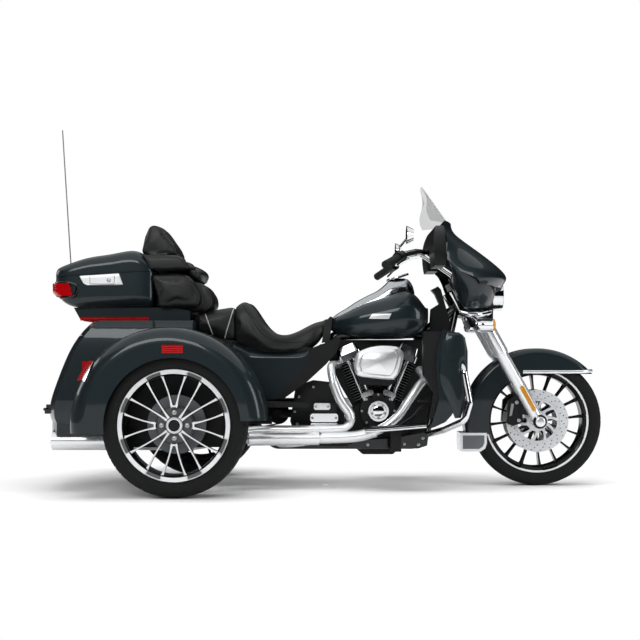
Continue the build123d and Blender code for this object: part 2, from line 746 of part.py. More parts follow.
# columns: x, y, z as shares of the crank's distance, the header's y and the crank's height
front_header_shares = ((1.86, -0.2, 1.8), (2.05, -0.7, 1.35), (1.9, -1, 1), (1.5, -1, 0.8),
                       (0, -1, 0.8), (-1.4, -1.1, 0.786), (-1.95, -1.6, 0.786), (-2.2, -1.61, 0.786))
rear_header_shares = ((0.32, -0.2, 1.94), (0.12, -0.84, 1.84), (0.34, -1, 1.45), (0.46, -1.02, 1.18),
                      (0.3, -1, 0.95), (-0.3, -1, 0.79))
crossover_shares = ((-0.1, -1, 0.79), (-0.78, -1, 0.52), (-0.98, -0.7, 0.52), (-0.98, 0.7, 0.52),
                    (-1.2, 1, 0.52), (-1.9, 1.6, 0.78), (-2.2, 1.61, 0.786))
exhaust_size = (crank_x, header_y, crank_z)
with BuildPart() as exhaust_pipes:
    for shares, radius in ((front_header_shares, pipe_radius), (rear_header_shares, header_radius),
                           (crossover_shares, header_radius)):
        add(tube(placed(shares, (0, 0, 0), exhaust_size), radius, (1.6 * radius,) * (len(shares) - 2)))
    for piece in (cylinders, rocker_covers, engine_case, gearbox):
        add(piece.part, mode=Mode.SUBTRACT)
save(exhaust_pipes, "exhaust_pipes")

muffler_cone = 90
with BuildPart() as mufflers:
    for side in (-1, 1):
        add(rod((muffler_front_x, side * muffler_y, exhaust_z), (muffler_rear_x, side * muffler_y, exhaust_z),
                muffler_radius))
    chamfer(mufflers.edges().group_by(Axis.X)[-1], muffler_cone, muffler_radius / 3)
    for side in (-1, 1):
        add(rod((muffler_rear_x + muffler_cone, side * muffler_y, exhaust_z),
                (muffler_rear_x - overrun, side * muffler_y, exhaust_z), muffler_radius - wall),
            mode=Mode.SUBTRACT)
    add(exhaust_pipes.part, mode=Mode.SUBTRACT)
save(mufflers, "mufflers")

# Rear axle: a differential on a tube, with a spindle for each wheel, carried by two arms
axle_tube_radius = 34
axle_tube_half = rear_tyre_y - rear_rim_width / 2 - 2 * wall
diff_radius = 92
diff_half = 66
arm_y = 165
arm_radius = 20
shock_y = 250
shock_radius = 26
shock_top_z = 600
spindle_half = rear_tyre_y + rear_rim_width / 2
with BuildPart() as rear_axle:
    axle_z = rear_tyre_radius
    add(rod((rear_axle_x, -axle_tube_half, axle_z), (rear_axle_x, axle_tube_half, axle_z), axle_tube_radius))
    add(rod((rear_axle_x, -spindle_half, axle_z), (rear_axle_x, spindle_half, axle_z), spindle_radius))
    add(rod((rear_axle_x, -diff_half, axle_z), (rear_axle_x, diff_half, axle_z), diff_radius))
    fillet(rear_axle.edges().filter_by(GeomType.CIRCLE).sort_by(SortBy.RADIUS)[-2:], diff_radius / 4)
    for side in (-1, 1):
        add(rod((rear_axle_x, side * arm_y, axle_z), (frame_rear_x + frame_length / 4, side * rail_y, axle_z),
                arm_radius))
        add(rod((rear_axle_x, side * shock_y, axle_z), (rear_axle_x, side * shock_y, shock_top_z),
                shock_radius))
    add(frame.part, mode=Mode.SUBTRACT)
save(rear_axle, "rear_axle")

# Drive belt from the gearbox to the axle, round two pulleys
belt_low_y = 84
belt_width = 24
belt_thickness = 6
front_pulley_x = -236
front_pulley_z = 345
front_pulley_radius = 50
rear_pulley_radius = 108
with BuildPart() as drive_belt:
    with BuildSketch(side_plane(belt_low_y + belt_width)):
        for grow, mode in ((belt_thickness, Mode.ADD), (0, Mode.SUBTRACT)):
            with BuildSketch(mode=Mode.PRIVATE) as loop:
                with Locations((front_pulley_x, front_pulley_z)):
                    Circle(front_pulley_radius + grow)
                with Locations((rear_axle_x, rear_tyre_radius)):
                    Circle(rear_pulley_radius + grow)
                make_hull()
            add(loop.sketch, mode=mode)
    extrude(amount=belt_width)
    add(rod((front_pulley_x, belt_low_y, front_pulley_z), (front_pulley_x, belt_low_y + belt_width,
                                                           front_pulley_z),
            front_pulley_radius + belt_thickness / 2))
    add(rod((rear_axle_x, belt_low_y, rear_tyre_radius), (rear_axle_x, belt_low_y + belt_width,
                                                          rear_tyre_radius),
            rear_pulley_radius + belt_thickness / 2, axle_tube_radius + seat_gap))
    add(rod((front_pulley_x, 0, front_pulley_z), (front_pulley_x, belt_low_y + wall, front_pulley_z),
            arm_radius))
    add(rod((front_pulley_x, gearbox_half / 2, front_pulley_z),
            (gearbox_x + wall * 4, gearbox_half / 2, front_pulley_z),
            arm_radius))
    for piece in (frame, rear_axle, gearbox):
        add(piece.part, mode=Mode.SUBTRACT)
save(drive_belt, "drive_belt")

# Rear body: a hollow trunk between two wheel fenders
# columns: height, rear reach at the middle, half width, as shares of the trunk's height, depth and half width
trunk_front_x = -612
trunk_depth = 712
trunk_low_z = 320
trunk_height = 470
trunk_bulge = 82
trunk_shares = ((0, 0.985, 0.975), (0.11, 1, 1), (0.38, 0.955, 1), (0.68, 0.875, 0.985), (0.92, 0.77, 0.95),
                (1, 0.715, 0.91))
marker_depth = 5
fender_half = overall_width / 2 - marker_depth
fender_front_low_z = 345
fender_rear_low_z = 288
axle_slot_half = 120
axle_slot_top_z = 470
bulkhead_x = -792
shelf_z = shock_top_z + seat_gap
door_half = 328
door_low_z = 379
door_high_z = 728
door_gap = 5
door_thickness = 14
hinge_radius = 7
hinge_length = 30
hinge_y = 165
hinge_gap = 2
hinge_x = trunk_front_x - trunk_depth - hinge_gap
hinge_z = door_low_z - hinge_radius / 2


def trunk_form(inset):
    """The trunk's plan outlines lofted into one body, drawn in by inset."""
    with BuildPart() as body:
        for row, (height, rear, half) in enumerate(trunk_shares):
            lift = inset if row == 0 else (-inset if row == len(trunk_shares) - 1 else 0)
            x_middle = trunk_front_x - rear * trunk_depth + inset
            x_side = x_middle + trunk_bulge
            x_front = trunk_front_x - inset
            side_y = half * trunk_half_width - inset
            with BuildSketch(Plane.XY.offset(trunk_low_z + height * trunk_height + lift)):
                with BuildLine():
                    Polyline((x_side, side_y), (x_front, side_y), (x_front, -side_y), (x_side, -side_y))
                    ThreePointArc((x_side, -side_y), (x_middle, 0), (x_side, side_y))
                make_face()
        loft()
    return body.part


def drum(low_y, high_y, radius, round_radius):
    """A fender's full drum about its own centre, rounded at its outer edge."""
    with BuildPart() as body:
        with BuildSketch(Plane(origin=(fender_x, 0, fender_z), x_dir=(0, 1, 0), z_dir=(1, 0, 0))) as half:
            with Locations(((low_y + high_y) / 2, radius / 2)):
                Rectangle(high_y - low_y, radius)
            fillet(half.vertices().group_by(Axis.Y)[-1].sort_by(Axis.X)[-1], round_radius)
        revolve(axis=Axis((fender_x, 0, fender_z), (0, 1, 0)))
    return body.part


def across(x, z, radius, low_y, high_y):
    """A round bar lying across the machine."""
    return rod((x, low_y, z), (x, high_y, z), radius)


far = trunk_depth + overrun
with BuildPart() as rear_body:
    add(trunk_form(0))
    add(trunk_form(wall), mode=Mode.SUBTRACT)
    add(block(bulkhead_x, bulkhead_x + wall, -trunk_half_width + wall / 2, trunk_half_width - wall / 2,
              trunk_low_z, trunk_low_z + trunk_height - wall / 2))
    add(block(bulkhead_x, trunk_front_x - wall / 2, -trunk_half_width + wall / 2, trunk_half_width - wall / 2,
              shelf_z, shelf_z + wall))
    add(block(bulkhead_x + wall, trunk_front_x + wall, -trunk_half_width - wall, trunk_half_width + wall,
              trunk_low_z - wall, axle_slot_top_z), mode=Mode.SUBTRACT)
    right = drum(trunk_half_width - 3 * wall, fender_half, fender_radius, fender_round)
    hollow = drum(trunk_half_width + wall, fender_half - wall, fender_radius - wall, fender_round - wall)
    shell = right - hollow
    shell = shell - across(rear_axle_x, rear_tyre_radius, wheel_opening_radius, fender_half - 2 * fender_round,
                           fender_half + wall)
    shell = shell - block(rear_axle_x, rear_axle_x + far, 0, overall_width, fender_z - far, fender_front_low_z)
    shell = shell - block(rear_axle_x - far, rear_axle_x, 0, overall_width, fender_z - far, fender_rear_low_z)
    shell = shell - block(rear_axle_x - axle_slot_half, rear_axle_x + axle_slot_half, 0,
                          trunk_half_width + 2 * wall, 0, axle_slot_top_z)
    add(shell)
    add(mirrored(shell))
    add(block(trunk_front_x - 2 * trunk_depth, bulkhead_x - overrun, -door_half, door_half,
              door_low_z - door_gap, door_high_z), mode=Mode.SUBTRACT)
    for side in (-1, 1):
        y_middle = side * (hinge_y + hinge_length + seat_gap)
        low, high = y_middle - hinge_length / 2, y_middle + hinge_length / 2
        add(across(hinge_x, hinge_z, hinge_radius, low, high))
        add(block(hinge_x, hinge_x + trunk_bulge / 3, low, high, hinge_z - 3 * hinge_radius, hinge_z))
        y_door = side * hinge_y
        add(across(hinge_x, hinge_z, hinge_radius + door_gap, y_door - hinge_length / 2 - seat_gap / 2,
                   y_door + hinge_length / 2 + seat_gap / 2), mode=Mode.SUBTRACT)
    add(trunk_form(wall) & block(bulkhead_x - wall - far, bulkhead_x - wall, -door_half, door_half,
                                 hinge_z - 4 * hinge_radius, hinge_z + 2 * hinge_radius), mode=Mode.SUBTRACT)
save(rear_body, "rear_body")

with BuildPart() as trunk_door:
    add(trunk_form(0))
    add(trunk_form(door_thickness), mode=Mode.SUBTRACT)
    add(block(trunk_front_x - 2 * trunk_depth, bulkhead_x - 2 * overrun, -door_half + door_gap,
              door_half - door_gap,
              door_low_z, door_high_z - door_gap), mode=Mode.INTERSECT)
    for side in (-1, 1):
        y_door = side * hinge_y
        low, high = y_door - hinge_length / 2, y_door + hinge_length / 2
        add(across(hinge_x, hinge_z, hinge_radius, low, high))
        add(block(hinge_x, hinge_x + trunk_bulge / 3, low, high, hinge_z, hinge_z + 3 * hinge_radius))
        y_body = side * (hinge_y + hinge_length + seat_gap)
        add(across(hinge_x, hinge_z, hinge_radius + door_gap, y_body - hinge_length / 2 - seat_gap / 2,
                   y_body + hinge_length / 2 + wall), mode=Mode.SUBTRACT)
save(trunk_door, "trunk_door")

valance_low_z = 262
valance_front_x = -985
valance_height = trunk_low_z - seat_gap - valance_low_z
valance_room = 8
valance_cut = muffler_radius + valance_room
with BuildPart() as rear_valance:
    for inset, mode in ((0, Mode.ADD), (wall, Mode.SUBTRACT)):
        x_middle = trunk_front_x - trunk_shares[0][1] * trunk_depth + inset
        side_y = trunk_shares[0][2] * trunk_half_width - inset
        x_front = valance_front_x + (overrun if inset else 0)
        with BuildSketch(Plane.XY.offset(valance_low_z)):
            with BuildLine():
                Polyline((x_middle + trunk_bulge, side_y), (x_front, side_y), (x_front, -side_y),
                         (x_middle + trunk_bulge, -side_y))
                ThreePointArc((x_middle + trunk_bulge, -side_y), (x_middle, 0),
                              (x_middle + trunk_bulge, side_y))
            make_face()
        extrude(amount=valance_height, mode=mode)
    for side in (-1, 1):
        add(rod((muffler_front_x, side * muffler_y, exhaust_z),
                (muffler_rear_x - 2 * overrun, side * muffler_y, exhaust_z),
                valance_cut), mode=Mode.SUBTRACT)
    add(rear_body.part, mode=Mode.SUBTRACT)
save(rear_valance, "rear_valance")

# Red lamps on the fenders: one behind each wheel and a marker on each side
tail_lamp_low_y = 500
tail_lamp_high_y = 622
tail_lamp_low_z = 520
tail_lamp_high_z = 606
tail_lamp_depth = 16
marker_x = -712
marker_z = 640
marker_length = 92
marker_height = 35
with BuildPart() as tail_lamps:
    lamp = (across(fender_x, fender_z, fender_radius + tail_lamp_depth, tail_lamp_low_y, tail_lamp_high_y)
            - across(fender_x, fender_z, fender_radius + seat_gap, tail_lamp_low_y - wall,
                     tail_lamp_high_y + wall))
    lamp = lamp & block(fender_x - far, fender_x, 0, overall_width, tail_lamp_low_z, tail_lamp_high_z)
    lamp = lamp + block(marker_x, marker_x + marker_length, fender_half + seat_gap, overall_width / 2,
                        marker_z, marker_z + marker_height)
    add(lamp)
    add(mirrored(lamp))
save(tail_lamps, "tail_lamps")

# Top case on its rack, with a lid hinged along its left side
# columns: place, half width, bottom, top, as shares of the case's length, half width and height
case_rear_x = -1268
case_length = 456
case_half = 272
case_low_z = 855
case_height = 265
case_shares = ((0, 0.82, 0.3, 0.6), (0.04, 0.95, 0.17, 0.7), (0.15, 1, 0.03, 0.78), (0.37, 1, 0, 0.895),
               (0.59, 1, 0, 0.955), (0.83, 0.99, 0, 1), (0.92, 0.97, 0, 0.92), (1, 0.9, 0.03, 0.73))
case_round_share = 0.22
parting_rear_z = 995
parting_front_z = 1025
lid_gap = 2
lid_hinge_gap = 7
lid_hinge_y = case_half + lid_hinge_gap


def case_form(inset):
    """The whole case lofted through its cross sections, drawn in by inset."""
    rows = []
    for row, (place, half, low, high) in enumerate(case_shares):
        push = inset if row == 0 else (-inset if row == len(case_shares) - 1 else 0)
        rows.append((case_rear_x + place * case_length + push, half * case_half - inset,
                     case_low_z + low * case_height + inset, case_low_z + high * case_height - inset))
    return lofted(rows, case_round_share)


parting_slope = (parting_front_z - parting_rear_z) / case_length


def above_parting(lift):
    """Everything over the plane between case and lid, raised by lift."""
    low_x, high_x = case_rear_x - 2 * overrun, case_rear_x + 2 * case_length
    points = ((low_x, parting_rear_z + lift + parting_slope * (low_x - case_rear_x)),
              (high_x, parting_rear_z + lift + parting_slope * (high_x - case_rear_x)),
              (high_x, case_low_z + 2 * case_height), (low_x, case_low_z + 2 * case_height))
    return plate(points, -2 * case_half, 2 * case_half)


lid_hinge_radius = 6
lid_hinge_length = 40
lid_hinge_places_share = (0.25, 0.75)


def lid_knuckle(place, shift, radius):
    """A hinge knuckle on the lid's axis, at a share of the case's length."""
    middle = case_rear_x + place * case_length + shift * (lid_hinge_length + seat_gap)
    ends = [middle - lid_hinge_length / 2, middle + lid_hinge_length / 2]
    points = [(x, lid_hinge_y, parting_rear_z + parting_slope * (x - case_rear_x)) for x in ends]
    return rod(points[0], points[1], radius)


with BuildPart() as case:
    add(case_form(0))
    add(case_form(wall), mode=Mode.SUBTRACT)
    add(above_parting(-lid_gap / 2), mode=Mode.SUBTRACT)
    for place in lid_hinge_places_share:
        knuckle = lid_knuckle(place, 0.5, lid_hinge_radius)
        box = knuckle.bounding_box()
        add(knuckle)
        add(block(box.min.X + wall, box.max.X - wall, case_half - wall, lid_hinge_y,
                  box.min.Z - 3 * lid_hinge_radius,
                  box.min.Z + lid_hinge_radius) - above_parting(-lid_gap / 2))
        add(lid_knuckle(place, -0.5, lid_hinge_radius + wall), mode=Mode.SUBTRACT)
save(case, "case")

with BuildPart() as case_lid:
    add(case_form(0))
    add(case_form(wall), mode=Mode.SUBTRACT)
    add(above_parting(lid_gap / 2), mode=Mode.INTERSECT)
    for place in lid_hinge_places_share:
        knuckle = lid_knuckle(place, -0.5, lid_hinge_radius)
        box = knuckle.bounding_box()
        add(lid_knuckle(place, 0.5, lid_hinge_radius + wall), mode=Mode.SUBTRACT)
        add(knuckle)
        add(block(box.min.X + wall, box.max.X - wall, case_half - wall, lid_hinge_y,
                  box.max.Z - lid_hinge_radius,
                  box.max.Z + 3 * lid_hinge_radius) & above_parting(lid_gap / 2))
save(case_lid, "case_lid")

# Lamps that wrap round the case's rear corners
case_lamp_depth = 14
# columns: x, z as shares of the case's length and height
case_lamp_shares = ((-0.2, 0.42), (0.155, 0.42), (0.19, 0.2), (-0.2, 0.17))
case_lamp_inner_y = 96
with BuildPart() as case_lamps:
    add(case_form(-case_lamp_depth))
    add(case_form(-seat_gap), mode=Mode.SUBTRACT)
    add(plate(placed(case_lamp_shares, (case_rear_x, case_low_z), (case_length, case_height)),
              -2 * case_half, 2 * case_half), mode=Mode.INTERSECT)
    add(block(case_rear_x - 2 * overrun, case_rear_x + case_length, -case_lamp_inner_y, case_lamp_inner_y,
              case_low_z - overrun, case_low_z + case_height), mode=Mode.SUBTRACT)
save(case_lamps, "case_lamps")

# Rack under the case
# columns: x, z as shares of the rack's length and height
rack_rear_x = -1188
rack_length = 548
rack_half = 214
rack_shares = ((0, 1), (0.055, 0.15), (0.09, 0), (1, 0), (1, 0.75), (0.87, 1))
rack_low_z = trunk_low_z + trunk_height + seat_gap
with BuildPart() as case_rack:
    add(plate(placed(rack_shares, (rack_rear_x, rack_low_z), (rack_length, case_low_z - seat_gap - rack_low_z)),
              -rack_half, rack_half))
    add(case_form(-seat_gap), mode=Mode.SUBTRACT)
    add(trunk_form(-seat_gap), mode=Mode.SUBTRACT)
save(case_rack, "case_rack")

latch_depth = 6
# columns: x, z as shares of the case's length and height
latch_shares = ((0.26, 0.5), (0.66, 0.5), (0.7, 0.39), (0.33, 0.385), (0.3, 0.41))
with BuildPart() as case_latch:
    outline = placed(latch_shares, (case_rear_x, case_low_z), (case_length, case_height))
    add(plate(outline, -case_half - latch_depth, -case_half + latch_depth))
    add(case_form(-seat_gap), mode=Mode.SUBTRACT)
save(case_latch, "case_latch")

aerial_radius = 3
aerial_y = 215
aerial_foot_x = -1276
aerial_tip_x = -1330
aerial_foot_z = 905
aerial_tip_z = 1767
with BuildPart() as aerial:
    add(rod((aerial_foot_x, aerial_y, aerial_foot_z), (aerial_tip_x, aerial_y, aerial_tip_z), aerial_radius))
    add(rod((aerial_foot_x, aerial_y, aerial_foot_z),
            (aerial_foot_x - wall / 2, aerial_y, aerial_foot_z + overrun),
            3 * aerial_radius))
    add(case_form(-seat_gap), mode=Mode.SUBTRACT)
    add(case_lamps.part, mode=Mode.SUBTRACT)
save(aerial, "aerial")

# Backrest pads: the upper ones ride on the lid, the lower ones stay on the case
# columns: x, z as shares of the pads' length and height, all from the case's front low corner
pads_x = -890
pads_z = 840
pads_length = 362
pads_height = 412
pad_arm_low_y = 176
pad_arm_high_y = 268
pad_middle_half = 176
hump_half = 168
pad_round = 14
hump_shares = ((0.02, 0.69), (0.055, 0.8), (0.15, 0.98), (0.21, 1), (0.3, 0.96), (0.47, 0.74),
               (0.52, 0.63), (0.1, 0.62))
upper_arm_shares = ((0.04, 0.67), (0.14, 0.62), (0.52, 0.625), (0.61, 0.595), (0.68, 0.51), (0.7, 0.42),
                    (0.2, 0.42))
upper_middle_shares = ((0.15, 0.65), (0.69, 0.53), (0.77, 0.51), (0.88, 0.37), (0.88, 0.335), (0.15, 0.335))
lower_arm_shares = ((0.2, 0.41), (0.54, 0.41), (0.66, 0.39), (0.75, 0.33), (0.85, 0.15), (0.84, 0.1),
                    (0.8, 0.05),
                    (0.3, 0.04), (0.28, 0.15))
lower_middle_shares = ((0.2, 0.33), (0.8, 0.32), (0.91, 0.27), (0.98, 0.18), (1, 0.1), (0.98, 0.04), (0.9, 0),
                       (0.3, 0), (0.2, 0.05))
pads_corner = (pads_x, pads_z)
pads_size = (pads_length, pads_height)
with BuildPart() as lid_pads:
    add(plate(placed(hump_shares, pads_corner, pads_size), -hump_half, hump_half, pad_round / 2))
    add(plate(placed(upper_middle_shares, pads_corner, pads_size), -pad_middle_half, pad_middle_half))
    for side in (-1, 1):
        low, high = sorted((side * pad_arm_low_y, side * pad_arm_high_y))
        add(plate(placed(upper_arm_shares, pads_corner, pads_size), low, high, pad_round / 2))
    add(above_parting(lid_gap / 2), mode=Mode.INTERSECT)
    add(case_form(-seat_gap), mode=Mode.SUBTRACT)
save(lid_pads, "lid_pads")

# columns: place, half width, bottom, top, as shares of the pillion seat's length, half width and height
pillion_front_x = -430
pillion_length = trunk_front_x + seat_gap - pillion_front_x
pillion_half = 172
pillion_low_z = 690
pillion_height = 172
pillion_round_share = 0.3
pillion_shares = ((0, 0.94, 0.06, 0.99), (0.25, 1, 0.1, 0.94), (0.6, 1, 0.22, 0.88), (1, 0.97, 0.34, 0.83))
with BuildPart() as pillion_seat:
    add(lofted([(pillion_front_x + place * pillion_length, half * pillion_half,
                 pillion_low_z + low * pillion_height,
                 pillion_low_z + high * pillion_height) for place, half, low, high in pillion_shares],
               pillion_round_share))
save(pillion_seat, "pillion_seat")

with BuildPart() as case_pads:
    add(plate(placed(lower_middle_shares, pads_corner, pads_size), -pad_middle_half, pad_middle_half))
    for side in (-1, 1):
        low, high = sorted((side * pad_arm_low_y, side * pad_arm_high_y))
        add(plate(placed(lower_arm_shares, pads_corner, pads_size), low, high, pad_round / 2))
    add(above_parting(-lid_gap / 2), mode=Mode.SUBTRACT)
    for piece in (case, case_rack, pillion_seat, rear_body):
        add(piece.part, mode=Mode.SUBTRACT)
    add(case_form(-seat_gap), mode=Mode.SUBTRACT)
save(case_pads, "case_pads")

# Rider's seat: from a narrow nose on the tank back to its lumbar roll
# columns: place, half width, bottom, top, as shares of the seat's length, half width and height
seat_front_x = 22
seat_length = pillion_front_x + seat_gap - seat_front_x
seat_half = 190
seat_low_z = 648
seat_height = 236
seat_shares = ((0, 0.36, 0.62, 0.76), (0.16, 0.52, 0.14, 0.58), (0.36, 0.84, 0.02, 0.38), (0.6, 1, 0, 0.38),
               (0.73, 1, 0.01, 0.66), (0.85, 0.96, 0.05, 0.98), (1, 0.9, 0.16, 0.9))
seat_round_share = 0.34
with BuildPart() as rider_seat:
    add(lofted([(seat_front_x + place * seat_length, half * seat_half, seat_low_z + low * seat_height,
                 seat_low_z + high * seat_height) for place, half, low, high in seat_shares], seat_round_share))
    add(frame.part, mode=Mode.SUBTRACT)
save(rider_seat, "rider_seat")

# Fuel tank: lofted, with a tunnel for the backbone
# columns: place, half width, bottom, top, as shares of the tank's length, half width and height
tank_rear_x = 24
tank_length = 468
tank_half = 163
tank_low_z = 709
tank_height = 227
tank_shares = ((0, 0.36, 0.2, 0.32), (0.08, 0.56, 0.12, 0.48), (0.22, 0.78, 0.05, 0.62), (0.42, 0.93, 0, 0.8),
               (0.62, 1, 0, 0.93), (0.8, 1, 0.02, 1), (0.92, 0.86, 0.12, 0.82), (1, 0.62, 0.34, 0.66))
tank_round_share = 0.44
tunnel_half = backbone_radius + wall
tunnel_top_z = backbone_shares[1][2] * frame_height + backbone_radius + seat_gap


def tank_form(grow):
    """The tank's outer form, grown by a clearance."""
    return lofted([(tank_rear_x + place * tank_length, half * tank_half + grow,
                    tank_low_z + low * tank_height - grow,
                    tank_low_z + high * tank_height + grow) for place, half, low, high in tank_shares],
                  tank_round_share)


with BuildPart() as tank:
    add(tank_form(0))
    add(block(tank_rear_x - overrun, tank_rear_x + tank_length + overrun, -tunnel_half, tunnel_half,
              tank_low_z - overrun, tunnel_top_z), mode=Mode.SUBTRACT)
    add(tube(placed(backbone_shares, (frame_rear_x, 0, 0), (frame_length, rail_y, frame_height)),
             backbone_radius + seat_gap, (2 * backbone_radius,) * 3), mode=Mode.SUBTRACT)
    add(rider_seat.part, mode=Mode.SUBTRACT)
save(tank, "tank")

# Console along the tank's top, with the instrument housing at its front
# columns: x, z as shares of the console's length and height
console_x = 36
console_z = 760
console_length = 394
console_height = 250
console_half = 70
console_shares = ((0, 0.1), (0, 0.22), (0.16, 0.39), (0.29, 0.53), (0.42, 0.64), (0.54, 0.74),
                  (0.59, 0.78), (0.67, 0.9),
                  (0.72, 0.96), (0.85, 1), (0.93, 0.97), (1, 0.78), (1, 0.1))
with BuildPart() as console:
    add(plate(placed(console_shares, (console_x, console_z), (console_length, console_height)),
              -console_half, console_half))
    add(tank_form(seat_gap), mode=Mode.SUBTRACT)
    add(frame.part, mode=Mode.SUBTRACT)
    add(block(console_x - overrun, console_x + console_length + overrun, -2 * console_half, 2 * console_half,
              console_z - overrun, tunnel_top_z), mode=Mode.SUBTRACT)
    add(rider_seat.part, mode=Mode.SUBTRACT)
save(console, "console")

# Painted side panels below the seat and the dark covers ahead of them
# columns: x, z as shares of the panel's length and height
panel_x = -445
panel_z = 420
panel_length = 372
panel_height = 250
panel_low_y = 118
panel_high_y = 150
panel_shares = ((0, 1), (0.24, 0.79), (0.79, 0.78), (0.9, 0.81), (0.97, 0.86), (1, 0.82), (0.58, 0.02),
                (0.55, 0),
                (0.39, 0), (0.33, 0.06))
with BuildPart() as side_panels:
    for side in (-1, 1):
        low, high = sorted((side * panel_low_y, side * panel_high_y))
        add(plate(placed(panel_shares, (panel_x, panel_z), (panel_length, panel_height)), low, high))
    stay_z = panel_z + 0.6 * panel_height
    add(rod((panel_x + panel_length / 2, -panel_high_y + wall, stay_z),
            (panel_x + panel_length / 2, panel_high_y - wall, stay_z), rail_radius))
    for piece in (frame, rider_seat, rear_body):
        add(piece.part, mode=Mode.SUBTRACT)
save(side_panels, "side_panels")

dark_cover_shares = ((1.34, 1.17), (1.2, 1.1), (1.14, 0.95), (1.03, 0.8), (0.62, 0), (0.66, 0),
                     (1.06, 0.66), (1.2, 0.95),
                     (1.36, 1.08))
with BuildPart() as dark_covers:
    for side in (-1, 1):
        low, high = sorted((side * panel_low_y, side * (panel_high_y - wall)))
        add(plate(placed(dark_cover_shares, (panel_x, panel_z), (panel_length, panel_height)), low, high))
    add(rod((panel_x + 1.14 * panel_length, -panel_high_y + 2 * wall, panel_z + panel_height),
            (panel_x + 1.14 * panel_length, panel_high_y - 2 * wall, panel_z + panel_height), rail_radius))
    for piece in (frame, side_panels, rider_seat, tank, exhaust_pipes, cylinders, rocker_covers):
        add(piece.part, mode=Mode.SUBTRACT)
save(dark_covers, "dark_covers")

# Crash bars, leg shields and the radiators inside them
# columns: x, y, z as shares of the bar's reach ahead of its foot, its half width and height
crash_foot_x = 478
crash_foot_z = 250
crash_reach = 184
crash_half = 362
crash_height = 405
crash_radius = 15
crash_shares = ((0, 0.345, 0), (0.4, 0.75, 0.08), (0.87, 1, 0.2), (1, 1, 0.4), (0.86, 0.98, 0.75),
                (0.73, 0.8, 0.98), (0.6, 0.1, 0.985))
with BuildPart() as crash_bars:
    bar = tube(placed(crash_shares, (crash_foot_x, 0, crash_foot_z), (crash_reach, crash_half, crash_height)),
               crash_radius, (2.4 * crash_radius,) * (len(crash_shares) - 2))
    add(bar)
    add(mirrored(bar))
    add(frame.part, mode=Mode.SUBTRACT)
    add(exhaust_pipes.part, mode=Mode.SUBTRACT)
save(crash_bars, "crash_bars")

# columns: x, z as shares of the shield's length and height
shield_x = 470
shield_z = 290
shield_length = 183
shield_height = 460
shield_low_y = 256
shield_high_y = crash_half - crash_radius - seat_gap
shield_shares = ((0.38, 1), (0.71, 0.97), (0.93, 0.92), (1, 0.78), (1, 0.55), (0.96, 0.41), (0.7, 0.22),
                 (0.6, 0.14), (0.44, 0.07), (0.17, 0.02), (0, 0), (0.11, 0.06), (0.28, 0.3), (0.21, 0.6),
                 (0.23, 0.8))
radiator_shares = ((-0.1, 0.55), (-0.1, 0.98), (0.38, 0.98), (0.9, 0.9), (0.93, 0.6), (0.5, 0.3), (0.3, 0.32),
                   (0.1, 0.1), (0.02, 0.1), (0.15, 0.35))
with BuildPart() as leg_shields:
    outline = placed(shield_shares, (shield_x, shield_z), (shield_length, shield_height))
    for side in (-1, 1):
        low, high = sorted((side * shield_low_y, side * shield_high_y))
        add(plate(outline, low, high))
    add(crash_bars.part, mode=Mode.SUBTRACT)
save(leg_shields, "leg_shields")

# Footboards and pedals
board_x = 180
board_length = 290
board_z = 282
board_rise = 22
board_low_y = 244
board_high_y = 356
board_thickness = 12
hanger_x = 300
hanger_length = 50
with BuildPart() as footboards:
    # columns: x, z as shares of the board's length and rise
    points = placed(((0, 0), (1, 1), (1, 1.5), (0, 0.5)), (board_x, board_z), (board_length, board_rise))
    for side in (-1, 1):
        low, high = sorted((side * board_low_y, side * board_high_y))
        add(plate(points, low, high))
        rail_z = rail_shares[3][2] * frame_height
        low, high = sorted((side * rail_y, side * (board_low_y + overrun)))
        add(block(hanger_x, hanger_x + hanger_length, low, high, rail_z - rail_radius, rail_z))
        low, high = sorted((side * (board_low_y + overrun - 2 * wall), side * (board_low_y + overrun)))
        add(block(hanger_x, hanger_x + hanger_length, low, high, rail_z - rail_radius, board_z + board_rise))
    for piece in (frame, exhaust_pipes):
        add(piece.part, mode=Mode.SUBTRACT)
save(footboards, "footboards")

pillion_board_x = -285
pillion_board_length = 200
pillion_board_z = 388
pillion_board_low_y = 172
pillion_board_high_y = 300
with BuildPart() as pillion_boards:
    for side in (-1, 1):
        low, high = sorted((side * pillion_board_low_y, side * pillion_board_high_y))
        add(block(pillion_board_x, pillion_board_x + pillion_board_length, low, high,
                  pillion_board_z, pillion_board_z + 2 * board_thickness))
        low, high = sorted((side * gearbox_half / 2, side * (pillion_board_low_y + wall)))
        add(block(pillion_board_x + pillion_board_length - 2 * hanger_length,
                  pillion_board_x + pillion_board_length
                  - hanger_length, low, high, pillion_board_z, pillion_board_z + board_thickness))
    for piece in (gearbox, drive_belt, frame, primary_cover, side_panels, exhaust_pipes, dark_covers):
        add(piece.part, mode=Mode.SUBTRACT)
save(pillion_boards, "pillion_boards")

pedal_y = 268
pedal_radius = 7
pedal_pad = 46
# columns: x, z as shares of the pedal's length and height
pedal_x = 345
pedal_length = 130
pedal_height = 106
pedal_shares = ((0, 0), (0.45, 0.35), (0.75, 0.78), (1, 1))
with BuildPart() as foot_controls:
    for side in (-1, 1):
        path = [(x, side * pedal_y, z) for x, z in
                placed(pedal_shares, (pedal_x, board_z + board_rise), (pedal_length, pedal_height))]
        add(tube(path, pedal_radius, (2 * pedal_radius,) * 2))
        low, high = sorted((side * (pedal_y - pedal_pad / 2), side * (pedal_y + pedal_pad / 2)))
        add(block(pedal_x + pedal_length - pedal_pad, pedal_x + pedal_length, low, high,
                  board_z + board_rise + pedal_height, board_z + board_rise + pedal_height + board_thickness))
    add(footboards.part, mode=Mode.SUBTRACT)
save(foot_controls, "foot_controls")

